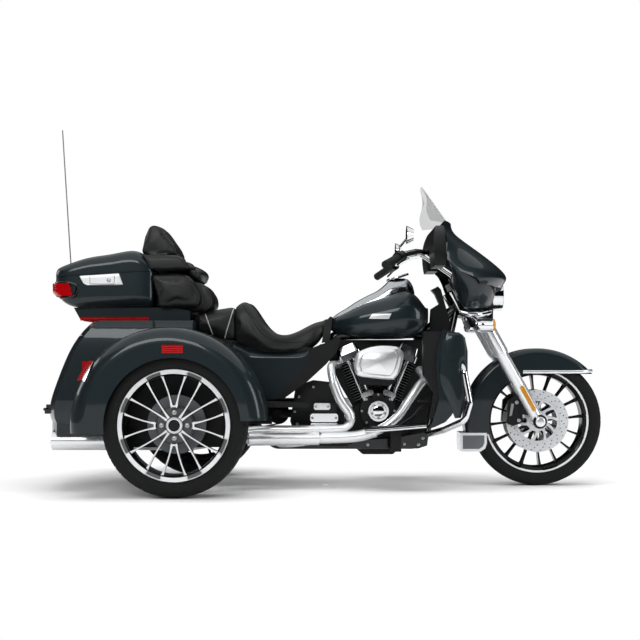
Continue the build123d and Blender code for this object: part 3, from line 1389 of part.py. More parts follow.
# Radiators inside the leg shields
with BuildPart() as radiators:
    outline = placed(radiator_shares, (shield_x, shield_z), (shield_length, shield_height))
    for side in (-1, 1):
        low, high = sorted((side * (shield_low_y - 4 * wall), side * (shield_high_y - 2 * wall)))
        add(plate(outline, low, high))
    for piece in (leg_shields, crash_bars, exhaust_pipes, foot_controls):
        add(piece.part, mode=Mode.SUBTRACT)
save(radiators, "radiators")
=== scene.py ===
# %% [markdown]
# A touring trike is mostly paint, chrome and black trim, so the finish of each surface carries the
# likeness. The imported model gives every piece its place; this file adds the finishes and the forms
# that a drawing of the structure leaves out, such as stitched seats, tyre tread and machined wheels.

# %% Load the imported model
import bpy
import math
import numpy as np
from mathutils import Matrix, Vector


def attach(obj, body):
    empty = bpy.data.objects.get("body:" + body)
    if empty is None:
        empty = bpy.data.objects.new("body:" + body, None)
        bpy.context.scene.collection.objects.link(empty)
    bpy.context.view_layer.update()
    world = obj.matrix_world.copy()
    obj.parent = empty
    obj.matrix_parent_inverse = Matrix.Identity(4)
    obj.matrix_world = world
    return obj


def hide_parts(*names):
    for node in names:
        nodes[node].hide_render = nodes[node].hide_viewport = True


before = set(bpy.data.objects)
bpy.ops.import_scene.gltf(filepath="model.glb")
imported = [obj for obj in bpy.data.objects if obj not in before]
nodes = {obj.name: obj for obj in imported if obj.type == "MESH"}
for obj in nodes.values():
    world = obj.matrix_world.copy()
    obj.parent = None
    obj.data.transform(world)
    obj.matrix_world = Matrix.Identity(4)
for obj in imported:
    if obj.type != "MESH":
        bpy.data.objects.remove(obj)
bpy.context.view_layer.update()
MM = 0.001
print("nodes", len(nodes))

# %% [markdown]
# The picture was taken from the machine's right side, level, from about six metres. A camera is
# fixed by where it stands, its lens and its shift. The shift moves the frame up without tilting
# the lens, which keeps the uprights upright, as a product photographer does.

# %% Camera
PICTURE_PIXELS = 640
SENSOR_MM = 36.0
FOCAL_PIXELS = 1252.0
CENTRE_PIXEL_X = 323.0
CENTRE_PIXEL_Y = 355.2
CAMERA_PLACE = (-0.0135, -6.113, 0.6306)

camera_data = bpy.data.cameras.new("studio_camera")
camera_data.sensor_width = SENSOR_MM
camera_data.lens = FOCAL_PIXELS / PICTURE_PIXELS * SENSOR_MM
camera_data.shift_x = (PICTURE_PIXELS / 2 - CENTRE_PIXEL_X) / PICTURE_PIXELS
camera_data.shift_y = (CENTRE_PIXEL_Y - PICTURE_PIXELS / 2) / PICTURE_PIXELS
camera = bpy.data.objects.new("studio_camera", camera_data)
camera.location = CAMERA_PLACE
camera.rotation_euler = (math.radians(90), 0, 0)
bpy.context.scene.collection.objects.link(camera)
bpy.context.scene.camera = camera
print("lens", round(camera_data.lens, 2), "mm")

# %% [markdown]
# Every colour below is written as it looks on screen, in hex. The shader wants linear light, so
# one function turns a hex colour linear. One more adds a shader node with its settings and links,
# and every finish is built with it.

# %% Colour and node helpers
def linear(hex_colour):
    """A screen colour such as "#2A3235" as linear red, green, blue and alpha."""
    channels = np.array([int(hex_colour[i:i + 2], 16) for i in (1, 3, 5)]) / 255
    low, high = channels / 12.92, ((channels + 0.055) / 1.055) ** 2.4
    return (*np.where(channels <= 0.04045, low, high).tolist(), 1.0)


def add_node(tree, kind, settings=None, **inputs):
    """Add one shader node; settings are its own fields, inputs are values or (node, output) links."""
    node = tree.nodes.new(kind)
    for field, value in (settings or {}).items():
        setattr(node, field, value)
    for label, value in inputs.items():
        numbered = label[0] == "n" and label[1:].isdigit()
        socket = node.inputs[int(label[1:]) if numbered else label.replace("_", " ")]
        if isinstance(value, tuple) and hasattr(value[0], "outputs"):
            tree.links.new(value[0].outputs[value[1]], socket)
        else:
            socket.default_value = value
    return node


def new_material(name, **inputs):
    """A material with one Principled shader; returns it with its tree, shader and coordinates."""
    material = bpy.data.materials.new(name)
    material.use_nodes = True
    tree = material.node_tree
    tree.nodes.clear()
    shader = add_node(tree, "ShaderNodeBsdfPrincipled", **inputs)
    add_node(tree, "ShaderNodeOutputMaterial", Surface=(shader, "BSDF"))
    place = add_node(tree, "ShaderNodeTexCoord")
    return material, tree, shader, place


def bumped(tree, shader, height, strength, depth_mm):
    """Press a height pattern into a shader's normal."""
    bump = add_node(tree, "ShaderNodeBump", Strength=strength, Distance=depth_mm * MM, Height=height)
    tree.links.new(bump.outputs["Normal"], shader.inputs["Normal"])


def per_metre(size_mm):
    """The pattern scale that gives one cell for each size_mm."""
    return 1000.0 / size_mm

def noise(tree, place, cell_mm, detail=2.0):
    """A cloud of noise with cells of about cell_mm."""
    return add_node(tree, "ShaderNodeTexNoise", Vector=(place, "Object"), Scale=per_metre(cell_mm), Detail=detail)


def tinted(tree, pattern, dark, light, shader=None):
    """Shade from a dark to a light colour by a pattern, as the base colour of a shader if one is given."""
    tint = add_node(tree, "ShaderNodeValToRGB", Fac=(pattern, 0))
    for stop, colour in zip(tint.color_ramp.elements, (dark, light)):
        stop.color = linear(colour)
    if shader:
        tree.links.new(tint.outputs["Color"], shader.inputs["Base Color"])
    return tint


def glossed(tree, pattern, low, high, shader):
    """Let a pattern vary a shader's roughness between low and high."""
    gloss = add_node(tree, "ShaderNodeMapRange", Value=(pattern, 0), To_Min=low, To_Max=high)
    tree.links.new(gloss.outputs["Result"], shader.inputs["Roughness"])


# %% [markdown]
# The paint is a dark green-grey metallic enamel under clear lacquer: aluminium flake in the colour
# coat gives the pale sheen where light rakes across it, and the lacquer gives the sharp reflection
# on top. Flake is far below a pixel here, so it is drawn coarser than life, as a faint cloud.

# %% Painted and plated finishes
FLAKE_MM = 2.5
BRUSH_MM = 1.2
HAZE_MM = 60
CLOUD_MM = 90

paint, tree, shader, place = new_material("lacquered metallic enamel", Metallic=0.4, Roughness=0.36, Coat_Weight=0.5,
    Coat_Roughness=0.03, Specular_IOR_Level=0.2)
tinted(tree, noise(tree, place, FLAKE_MM), "#151D20", "#202A2E", shader)


def plating(name, colour, rough_low, rough_high):
    """Plated metal under a faint haze that varies its gloss."""
    material, tree, shader, place = new_material(name, Base_Color=linear(colour), Metallic=1.0)
    glossed(tree, noise(tree, place, HAZE_MM, 3.0), rough_low, rough_high, shader)
    return material


def coated(name, dark, light, rough_low, rough_high, grain_mm, depth_mm, metallic=0.0, coat=0.0):
    """A coated or moulded finish: colour and roughness vary a little, and a fine grain is pressed in."""
    material, tree, shader, place = new_material(name, Metallic=metallic, Coat_Weight=coat,
        Specular_IOR_Level=0.5 if metallic else 0.25)
    cloud = noise(tree, place, CLOUD_MM, 4.0)
    tinted(tree, cloud, dark, light, shader)
    glossed(tree, cloud, rough_low, rough_high, shader)
    bumped(tree, shader, (noise(tree, place, grain_mm, 3.0), "Fac"), 0.5, depth_mm)
    return material


chrome = plating("decorative chrome plate", "#E4E6E8", 0.04, 0.13)
plated = plating("satin chrome plate", "#B4B8BB", 0.12, 0.2)
gloss_black = coated("gloss black enamel", "#040505", "#0A0B0C", 0.14, 0.24, 40, 0.02, coat=0.5)
satin_black = coated("satin black powder coat", "#08090A", "#0F1011", 0.34, 0.46, 3, 0.06)
wrinkle_black = coated("wrinkle black engine enamel", "#08090A", "#111213", 0.4, 0.56, 2.2, 0.25)
moulded_black = coated("moulded black ABS", "#07080A", "#0E0F10", 0.36, 0.5, 1.6, 0.08)
rubber = coated("moulded rubber", "#0F1010", "#191A1A", 0.6, 0.78, 1.4, 0.08)
tyre_rubber = coated("tyre compound", "#080909", "#101111", 0.66, 0.84, 3, 0.12)
bare_steel = coated("brushed steel", "#8E9296", "#B4B8BB", 0.26, 0.4, BRUSH_MM, 0.04, metallic=1.0)
machined = coated("machined aluminium under lacquer", "#DADDDF", "#F0F1F2", 0.26, 0.36, BRUSH_MM, 0.02, metallic=0.6,
    coat=0.5)
grey_iron = coated("ground disc steel", "#C2C4C6", "#D4D6D8", 0.34, 0.46, BRUSH_MM, 0.04, metallic=0.4)
polished = coated("polished aluminium", "#E0E2E4", "#EEEFF0", 0.2, 0.3, 2.0, 0.02, metallic=0.7, coat=0.3)
hub_grey = coated("satin grey cast hub", "#5C5F62", "#74787B", 0.34, 0.46, 2, 0.06, metallic=0.5)
print("finishes", len(bpy.data.materials))

# %% [markdown]
# The seats and pads are black leather-grained vinyl. Its grain is a net of small cells with soft
# creases between them, so a Voronoi pattern stands in for it, over a slower wave of wear that
# shifts the gloss.

# %% Leather, lenses and clear sheet
leather, tree, shader, place = new_material("leather-grained seat vinyl", Specular_IOR_Level=0.35)
cells = add_node(tree, "ShaderNodeTexVoronoi", {"feature": "SMOOTH_F1"}, Vector=(place, "Object"),
    Scale=per_metre(3.2), Smoothness=0.6)
wear = noise(tree, place, 70, 5.0)
tinted(tree, wear, "#0C0D0D", "#171819", shader)
glossed(tree, wear, 0.34, 0.52, shader)
bumped(tree, shader, (cells, "Distance"), 0.35, 0.35)
WAVE_PERIOD = math.pi / 10


def lens_plastic(name, colour, rib_mm, see_through):
    """Tinted lens plastic, smooth outside with moulded ribs that show as soft bands."""
    material, tree, shader, place = new_material(name, Base_Color=linear(colour), Roughness=0.08,
        Transmission_Weight=see_through, IOR=1.49, Coat_Weight=0.6)
    ribs = add_node(tree, "ShaderNodeTexWave", {"wave_type": "BANDS", "bands_direction": "Z"},
        Vector=(place, "Object"), Scale=per_metre(rib_mm) * WAVE_PERIOD)
    bumped(tree, shader, (ribs, "Fac"), 0.4, 0.5)
    return material


red_lens = lens_plastic("red lamp acrylic", "#A00408", 9, 0.05)
amber_lens = lens_plastic("amber lamp acrylic", "#BE8008", 7, 0.05)
clear_lens = lens_plastic("clear lamp polycarbonate", "#F4F6F6", 12, 0.92)

screen_sheet, tree, shader, place = new_material("clear windshield polycarbonate", Roughness=0.05,
    Specular_IOR_Level=0.3, Alpha=0.22)
tinted(tree, noise(tree, place, 120), "#4A5051", "#5A6162", shader)

# %% [markdown]
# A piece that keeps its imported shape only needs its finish. The table names the finish of each,
# and anything not named stays in the finish of its kind.

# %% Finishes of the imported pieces
packed_finishes = (
    (paint, "rear_body rear_valance case case_rack case_lid tank side_panels leg_shields trunk_door front_fender"
            " outer_fairing"),
    (chrome, "pushrod_tubes air_cleaner primary_cover case_latch crash_bars headlamp turn_lamps handlebar mirrors"),
    (moulded_black, "dark_covers radiators footboards pillion_boards nacelle inner_fairing"),
    (satin_black, "rear_axle foot_controls fork calipers controls"),
    (machined, "console front_wheel rear_wheel_right rear_wheel_left"),
    (leather, "case_pads pillion_seat rider_seat lid_pads"),
    (wrinkle_black, "engine_case cylinders gearbox"),
    (tyre_rubber, "front_tyre rear_tyre_right rear_tyre_left"),
    (polished, "exhaust_pipes mufflers"),
    (rubber, "drive_belt grips"),
    (red_lens, "tail_lamps case_lamps"),
    (gloss_black, "frame"), (plated, "rocker_covers"), (hub_grey, "aerial"), (bare_steel, "front_axle"),
    (screen_sheet, "windshield"))
unnamed = set(nodes)
for finish, names in packed_finishes:
    for name in names.split():
        nodes[name].data.materials.clear()
        nodes[name].data.materials.append(finish)
        unnamed.discard(name)
print("without a finish:", sorted(unnamed))

# %% [markdown]
# A new piece is a surface worked out from two parameters on a grid: rings of points, one after
# another along the piece. The next helper joins neighbouring rings with four-sided faces and
# closes each end with a small fan round a middle point, so no seam or pole stays open.

# %% Mesh helpers
def skin(rings, closed_along=False, capped=True):
    """Points and faces of a surface through rings[k, i]: quads join ring k to k + 1, fans close the ends."""
    rings = np.asarray(rings, float)
    count, around = rings.shape[:2]
    vertices = rings.reshape(-1, 3)
    k, i = np.arange(count if closed_along else count - 1)[:, None], np.arange(around)
    k_next, i_next = (k + 1) % count, (i + 1) % around
    quads = np.stack([k * around + i, k * around + i_next, k_next * around + i_next, k_next * around + i], -1)
    faces = quads.reshape(-1, 4).tolist()
    if capped and not closed_along:
        base, first = (count - 1) * around, len(vertices)
        vertices = np.vstack([vertices, rings[0].mean(0), rings[-1].mean(0)])
        faces += np.stack([i_next, i, np.full(around, first)], -1).tolist()
        faces += np.stack([base + i, base + i_next, np.full(around, first + 1)], -1).tolist()
    return vertices, faces


def facing_out(part):
    """A part whose faces point outwards: the signed volume inside a closed skin is then positive."""
    points, faces = np.asarray(part[0], float), part[1]
    corners = np.array([(face[0], face[k], face[k + 1]) for face in faces for k in range(1, len(face) - 1)])
    a, b, c = points[corners.T]
    volume = np.einsum("ij,ij->i", a, np.cross(b, c)).sum()
    return points, faces if volume > 0 else [list(reversed(face)) for face in faces]


def joined(parts):
    """Several (points, faces) pairs as one, each turned to face outwards."""
    vertices, faces, start = [], [], 0
    for points, polygons in map(facing_out, parts):
        vertices.append(points)
        faces += [[index + start for index in polygon] for polygon in polygons]
        start += len(points)
    return np.vstack(vertices), faces


def both_sides(part):
    """A part and its mirror image as one."""
    points, faces = part
    return joined([part, (np.asarray(points) * [1, -1, 1], faces)])


def add_piece(name, parts, body, finish, crisp=None, smooth=True, replaces=()):
    """Join parts into one mesh and hang it on a body; crisp is the edge angle past which shading breaks."""
    points, faces = joined(parts)
    mesh = bpy.data.meshes.new(name)
    mesh.from_pydata(points.tolist(), [], faces)
    mesh.validate()
    mesh.polygons.foreach_set("use_smooth", np.full(len(mesh.polygons), smooth))
    mesh.materials.append(finish)
    piece = bpy.data.objects.new(name, mesh)
    bpy.context.scene.collection.objects.link(piece)
    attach(piece, body)
    if replaces:
        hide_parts(*replaces)
    if crisp:
        piece.modifiers.new("crisp edges", "EDGE_SPLIT").split_angle = math.radians(crisp)
    return piece


def smooth_path(points, samples):
    """A path through points by Catmull-Rom blending: each span is a cubic of its four neighbours."""
    points = np.asarray(points, float)
    padded = np.vstack([2 * points[0] - points[1], points, 2 * points[-1] - points[-2]])
    t = np.linspace(0, len(points) - 1, samples)
    span = np.minimum(t.astype(int), len(points) - 2)
    f = (t - span)[:, None]
    a, b, c, d = padded[span], padded[span + 1], padded[span + 2], padded[span + 3]
    return 0.5 * (2 * b + (c - a) * f + (2 * a - 5 * b + 4 * c - d) * f ** 2 + (3 * b - a - 3 * c + d) * f ** 3)


def along_path(path, section, up=(0, 0, 1)):
    """Rings that carry a section of (sideways, upward) offsets along a path, square to it."""
    path = np.asarray(path, float)
    tangent = np.gradient(path, axis=0)
    tangent /= np.linalg.norm(tangent, axis=1, keepdims=True)
    side = np.cross(np.asarray(up, float), tangent)
    length = np.linalg.norm(side, axis=1, keepdims=True)
    side = np.where(length < 1e-6, np.array([[0.0, 1.0, 0.0]]), side / np.maximum(length, 1e-9))
    top = np.cross(tangent, side)
    section = np.asarray(section, float)
    if section.ndim == 2:
        section = np.broadcast_to(section, (len(path),) + section.shape)
    return path[:, None, :] + side[:, None, :] * section[..., :1] + top[:, None, :] * section[..., 1:]


def round_section(radius, around):
    """A circle of offsets about a path."""
    angle = np.linspace(0, 2 * np.pi, around, endpoint=False)
    return np.stack([radius * np.cos(angle), radius * np.sin(angle)], -1)


def tube(points, radius, samples, around):
    """Points and faces of a round tube along a smooth path, all in metres."""
    return skin(along_path(smooth_path(points, samples), round_section(radius, around)))


print("helpers ready")

# %% [markdown]
# A tyre is a torus with a pattern cut into its crown. Its section runs from one bead over the
# shoulder and crown to the other bead. Round the wheel the crown sinks where a groove passes, so the
# tread is real relief in the mesh and also shows in the outline.

# %% Tyres
# columns: place across the width, height above the rim, as shares of half width and section height
SIDEWALL_SHARES = ((0.8, 0.0), (0.9, 0.1), (0.975, 0.3), (1.0, 0.52), (0.975, 0.7), (0.91, 0.84), (0.82, 0.93))
CROWN_POINTS = 57
CROWN_SHARE = 0.8
CROWN_DROP_SHARE = 0.065
TREAD_DEPTH = 0.005
POINTS_PER_PITCH = 14
FRONT_CENTRE = (1.022, 0.0, 0.313)
REAR_WHEELS = [(name, side, (-0.668, side * 0.5325, 0.321)) for name, side in (("right", -1), ("left", 1))]


def tyre_shape(centre, outer, width, rim, pitches, rib_shares):
    """Section (u, v) turned about +Y: the crown falls off as u squared, and sinks where a sipe or rib groove runs."""
    angle = np.linspace(0, 2 * np.pi, pitches * POINTS_PER_PITCH, endpoint=False)[:, None]
    height = outer - rim
    side = smooth_path(SIDEWALL_SHARES, 22)
    u = np.linspace(CROWN_SHARE, -CROWN_SHARE, CROWN_POINTS)
    crown = np.stack([u, 1 - CROWN_DROP_SHARE * (np.abs(u) / CROWN_SHARE) ** 2.4], -1)
    inner = np.array([[-0.6, 0.0], [0.6, 0.0]])
    section = np.vstack([side, crown, side[::-1] * [-1, 1], inner])
    across, up = section[:, 0][None, :], section[:, 1][None, :]
    slant = angle * pitches / (2 * np.pi) + np.sign(across) * 0.12 + np.abs(across) * 0.9
    wave = np.abs(slant % 1.0 - 0.5)
    sipe = np.clip((0.085 - wave) / 0.03, 0, 1) * np.clip((np.abs(across) - 0.22) / 0.05, 0, 1)
    sipe = sipe * np.clip((0.93 - np.abs(across)) / 0.05, 0, 1) * (up > 0.7)
    ribs = sum(np.clip((0.032 - np.abs(np.abs(across) - share)) / 0.012, 0, 1) for share in rib_shares) * (up > 0.9)
    bands = 0.0008 * np.cos(np.clip((up - 0.15) / 0.5, 0, 1) * 6 * np.pi) * (up < 0.65) * (up > 0.1)
    sink = TREAD_DEPTH * np.maximum(sipe, ribs)
    radius = rim + up * height - sink
    along = across * (width / 2 - 0.0005) * (1 - 0.012 * (sink > 0) * (np.abs(across) > 0.8)) - bands * np.sign(across)
    rings = np.stack([radius * np.sin(angle), np.broadcast_to(along, radius.shape), radius * np.cos(angle)], -1)
    return skin(rings + np.asarray(centre), closed_along=True)


# columns: node, body, centre, outer radius, width, rim radius, tread pitches, rib places
tyres = [("front_tyre", "front_wheel_body", FRONT_CENTRE, 0.313, 0.13, 0.2513, 44, (0.0,))]
tyres += [(f"rear_tyre_{name}", f"rear_wheel_{name}_body", centre, 0.321, 0.215, 0.2483, 52, (0.16, 0.5))
    for name, side, centre in REAR_WHEELS]
for node, body, centre, outer, width, rim, pitches, ribs in tyres:
    add_piece(f"{node}_tread", [tyre_shape(centre, outer, width, rim, pitches, ribs)], body, tyre_rubber,
        replaces=(node,))
    print(node, "tread", pitches, "pitches")

# %% [markdown]
# The wheels are cast, painted black, and then faced in a lathe: the cut strips the paint off
# whatever stands proudest, which leaves thin bright edges on black spokes. One material does both,
# and a value kept on each vertex says whether the lathe touched it.

# %% Cast wheel finish
cast_wheel, tree, shader, place = new_material("black casting with lathe-cut edges", Coat_Weight=0.1,
    Specular_IOR_Level=0.2)
cut = add_node(tree, "ShaderNodeAttribute", {"attribute_name": "machined"})
sharp = add_node(tree, "ShaderNodeMapRange", Value=(cut, "Fac"), From_Min=0.45, From_Max=0.62)
metal = tinted(tree, noise(tree, place, 4, 3.0), "#E2E4E6", "#F2F3F4")
tone = add_node(tree, "ShaderNodeMix", {"data_type": "RGBA"}, n0=(sharp, "Result"), n6=linear("#050606"),
    n7=(metal, "Color"))
tree.links.new(tone.outputs[2], shader.inputs["Base Color"])
metallic = add_node(tree, "ShaderNodeMath", {"operation": "MULTIPLY"}, n0=(sharp, "Result"), n1=0.55)
tree.links.new(metallic.outputs[0], shader.inputs["Metallic"])
glossed(tree, sharp, 0.2, 0.34, shader)


def polar(centre, radius, degrees, along):
    """Points at a radius and an angle clockwise from the top as seen from the right, at along metres in Y."""
    angle = np.radians(degrees)
    return np.stack(np.broadcast_arrays(centre[0] + radius * np.sin(angle), centre[1] + along,
        centre[2] + radius * np.cos(angle)), -1)


# how far the lathe cut a pocket or the hub: just past the start of the change from black to bright
POCKET_VALUE = 0.47
RIM_STEPS = 480
POCKET_PITCH = 45
FACE_POINTS = 15


def rim_shape(centre, side, rim, half, face_width, pockets, pocket_span, pocket_depth, lip_share, bright_share):
    """A barrel whose outer face carries pockets: depth is a smooth bump in angle times one in radius."""
    degrees = np.linspace(0, 360, RIM_STEPS, endpoint=False)[:, None]
    well = rim - face_width
    face = np.linspace(rim - 0.001, well, FACE_POINTS)
    radius = np.concatenate([[rim, rim], face, [well - 0.002, well - 0.004, well - 0.006, well + 0.006, rim]])
    along = np.concatenate([[-half + 0.002, half - 0.003], np.full(FACE_POINTS, half),
        [half - 0.003, half - 0.012, 0.0, -half + 0.008, -half]])
    bright = np.clip((bright_share - np.linspace(0, 1, FACE_POINTS)) / 0.04, 0, 1)
    cut = np.concatenate([[0, 1], bright, [0, 0, 0, 0, 0]])
    turn = (degrees - pockets + 180) % POCKET_PITCH
    turn = np.minimum(turn, POCKET_PITCH - turn)
    share = (rim - radius)[None, :] / face_width
    inside = np.clip((pocket_span - turn) / 1.2, 0, 1) * np.clip((share - lip_share) / 0.1, 0, 1)
    inside = inside * (np.arange(len(radius)) >= 2)[None, :] * (np.arange(len(radius)) <= 17)[None, :]
    depth = pocket_depth * inside
    rings = polar(centre, radius[None, :], degrees, side * (along[None, :] - depth))
    if side < 0:
        rings = rings[:, ::-1]
        cut, inside = cut[::-1], inside[:, ::-1]
    shape = skin(rings[:, ::-1], closed_along=True)
    return shape, (cut[None, :] * (1 - (1 - POCKET_VALUE) * inside))[:, ::-1].reshape(-1)


def blade_shape(centre, side, start, end, front, width, depth, line=None):
    """A spoke: a bar from start to end, each (radius, degrees), narrowest in its middle, its front edge faced.

    line is the share of the half width that the lathe's cut reaches inwards from each edge, or None for all of it.
    """
    t = np.linspace(0, 1, 13)
    ease = t * t * (3 - 2 * t)
    radius = start[0] + (end[0] - start[0]) * t
    degrees = start[1] + (end[1] - start[1]) * (0.6 * t + 0.4 * ease)
    spine = polar(centre, radius, degrees, 0.0)
    direction = np.gradient(spine, axis=0)
    direction /= np.linalg.norm(direction, axis=1, keepdims=True)
    sideways = np.cross(direction, [0, 1, 0])
    waist = width * (1 + 0.9 * (2 * t - 1) ** 4)[:, None]
    reach = (front[0] + (front[1] - front[0]) * t)[:, None]
    bevel = 0.0012
    inner = 0.5 - 0.5 * (line or 0.5)
    half = np.array([-0.5, -0.5, -0.5, -inner, inner, 0.5, 0.5, 0.5, 0.5, -0.5])
    inset = np.array([0, 0, bevel, 0, 0, -bevel, 0, 0, -bevel, bevel])
    back = np.array([-depth + bevel, -bevel, 0, 0, 0, 0, -bevel, -depth + bevel, -depth, -depth])
    face = 0.0 if line else 1.0
    cut = np.array([0, 0.2, 1, face, face, 1, 0.2, 0, 0, 0], float)
    offset = waist * half[None, :] + inset[None, :]
    along = side * (reach + back[None, :])
    rings = spine[:, None, :] + sideways[:, None, :] * offset[..., None]
    rings[..., 1] += along
    values = np.tile(cut, len(t))
    if side > 0:
        rings = rings[:, ::-1]
        values = values.reshape(len(t), -1)[:, ::-1].reshape(-1)
    points, faces = skin(rings)
    return (points, faces), np.concatenate([values, [0, 0]])


def round_part(centre, side, profile, steps=64):
    """A closed turned part about +Y; profile rows are (reach towards side, radius, machined)."""
    profile = np.asarray(profile, float)
    degrees = np.linspace(0, 360, steps, endpoint=False)[:, None]
    rings = polar(centre, profile[None, :, 1], degrees, side * profile[None, :, 0])
    values = np.tile(profile[:, 2], steps)
    if side > 0:
        rings = rings[:, ::-1]
        values = values.reshape(steps, -1)[:, ::-1].reshape(-1)
    return skin(rings, closed_along=True), values


def cast_piece(name, node, body, parts, crisp=40):
    """One cast piece of many (shape, machined) parts, with the machined value kept as a vertex attribute."""
    piece = add_piece(name, [shape for shape, values in parts], body, cast_wheel, crisp, replaces=(node,))
    attribute = piece.data.attributes.new("machined", "FLOAT", "POINT")
    attribute.data.foreach_set("value", np.concatenate([values for shape, values in parts]))


# %% Rear wheels
# columns of the turned profiles: reach towards the side, radius, how far the lathe cut them
LUG_NUT = ((0.045, 0.002, 0), (0.045, 0.0135, 0), (0.066, 0.0125, 0.53), (0.072, 0.009, 0.53), (0.074, 0.002, 0.53))
REAR_HUB = [(reach, radius, POCKET_VALUE) for reach, radius in ((-0.02, 0.02), (-0.02, 0.086), (0.05, 0.086),
    (0.058, 0.078), (0.058, 0.044), (0.066, 0.04), (0.066, 0.02))]
REAR_CAP = ((0.06, 0.001, 0), (0.06, 0.037, 0), (0.076, 0.036, 1), (0.08, 0.032, 1), (0.08, 0.026, 1),
    (0.076, 0.024, 0), (0.076, 0.02, 0), (0.079, 0.018, 1), (0.079, 0.001, 1))
for name, side, centre in REAR_WHEELS:
    parts = [rim_shape(centre, side, 0.248, 0.0945, 0.024, 22.5, 9.0, 0.008, 0.14, 0.86)]
    for quarter in range(4):
        straight, slanted = 90 * quarter, 90 * quarter + 45
        # columns: angle of the pair, radius of its inner end, how far the two stand apart there, reach at the hub
        for middle, inner, apart, reach in ((straight, 0.086, 7.0, 0.082), (slanted, 0.04, 9.0, 0.078)):
            parts += [blade_shape(centre, side, (0.225, middle + hand * 13.2), (inner, middle + hand * apart),
                (0.09, reach), 0.0072, 0.034) for hand in (-1, 1)]
        parts.append(blade_shape(centre, side, (0.0855, straight - 9.5), (0.0855, straight + 9.5), (0.082, 0.082),
            0.0095, 0.024))
        parts.append(round_part(polar(centre, 0.057, straight, 0.0), side, LUG_NUT, 24))
    parts += [round_part(centre, side, REAR_HUB), round_part(centre, side, REAR_CAP)]
    cast_piece(f"rear_wheel_{name}_cast", f"rear_wheel_{name}", f"rear_wheel_{name}_body", parts)
    disc = round_part(centre, side, [(reach, radius, 0) for reach, radius in ((-0.03, 0.08), (-0.03, 0.132),
        (-0.024, 0.132), (-0.024, 0.08))], 96)[0]
    add_piece(f"rear_disc_{name}", [disc], f"rear_wheel_{name}_body", hub_grey, crisp=40)
print("rear wheel parts", len(parts))

# %% Front wheel
centre = FRONT_CENTRE
parts = [rim_shape(centre, side, 0.251, 0.052, 0.026, 29.0, 9.6, 0.008, 0.3, 0.4) for side in (-1, 1)]
for pair in range(8):
    for hand in (-1, 1):
        degrees = 29.0 + 45 * pair + hand * 10.8
        parts.append(blade_shape(centre, 1, (0.226, degrees), (0.05, degrees + hand * 2), (0.03, 0.034), 0.0084, 0.052,
            0.5))
parts.append(round_part(centre, 1, ((-0.055, 0.0095, 0), (-0.055, 0.04, 1), (-0.03, 0.056, 0), (0.03, 0.056, 0),
    (0.055, 0.04, 1), (0.055, 0.0095, 0))))
cast_piece("front_wheel_cast", "front_wheel", "front_wheel_body", parts)

# %% [markdown]
# The front discs float: a drilled ring carries the pads, and a spider of ten arms ties it to the
# hub. Between the arms one sees through to the far side.

# %% Front brake discs
SPIDER_ARMS = 10
BOBBIN = ((0.06, 0.001, 0), (0.06, 0.0055, 0), (0.0685, 0.0055, 0), (0.069, 0.001, 0))
# a drilled hole is not cut but drawn as a thin black disc of painted shade on the disc's face
DISC_HOLE_SHADE = ((0.065, 0.0005, 0), (0.065, 0.003, 0), (0.0657, 0.0029, 0), (0.0657, 0.0005, 0))
# the pad track, the hub ring and the carrier: steps round, then (reach towards the side, radius)
FRONT_DISC = ((120, ((0.0605, 0.108), (0.0605, 0.15), (0.0655, 0.15), (0.0655, 0.108))),
              (64, ((0.056, 0.0095), (0.056, 0.052), (0.067, 0.05), (0.069, 0.04), (0.069, 0.0095))),
              (96, ((0.06, 0.096), (0.06, 0.107), (0.0668, 0.107), (0.0668, 0.096))))
for name, side in (("right", -1), ("left", 1)):
    turned = [round_part(centre, side, [(reach, radius, 0) for reach, radius in profile], steps)[0]
        for steps, profile in FRONT_DISC]
    arms = [blade_shape(centre, side, (0.046, 36 * arm), (0.1, 36 * arm + 14), (0.0672, 0.0672), 0.012, 0.006)[0]
        for arm in range(SPIDER_ARMS)]
    bobbins = [round_part(polar(centre, 0.1075, 36 * arm + 16, 0.0), side, BOBBIN, 16)[0]
        for arm in range(SPIDER_ARMS)]
    add_piece(f"front_disc_{name}", turned + arms + bobbins, "front_wheel_body", grey_iron, crisp=40)
    # painted shade: each drilled hole is a thin black disc on the face; columns: radius of the row of holes, angle of
    # its first hole
    hole_shades = [round_part(polar(centre, radius, first + 18 * hole, 0.0), side, DISC_HOLE_SHADE, 10)[0]
        for radius, first in ((0.1165, 0), (0.129, 6), (0.1415, 12)) for hole in range(20)]
    add_piece(f"front_disc_hole_shades_{name}", hole_shades, "front_wheel_body", gloss_black)
print("front wheel parts", len(parts))

# %% [markdown]
# The seats and pads are moulded foam under stitched vinyl. Foam pushes its cover outwards between
# the seams, and that fullness is what the eye reads as soft. So each pad's solid is drawn in a
# little, remeshed evenly, and blown up as cloth for a moment; how far a point may move is capped.

# %% Stuffed pads
VOXEL = 0.006
PRESSURE = 4.0
FRAMES = 20


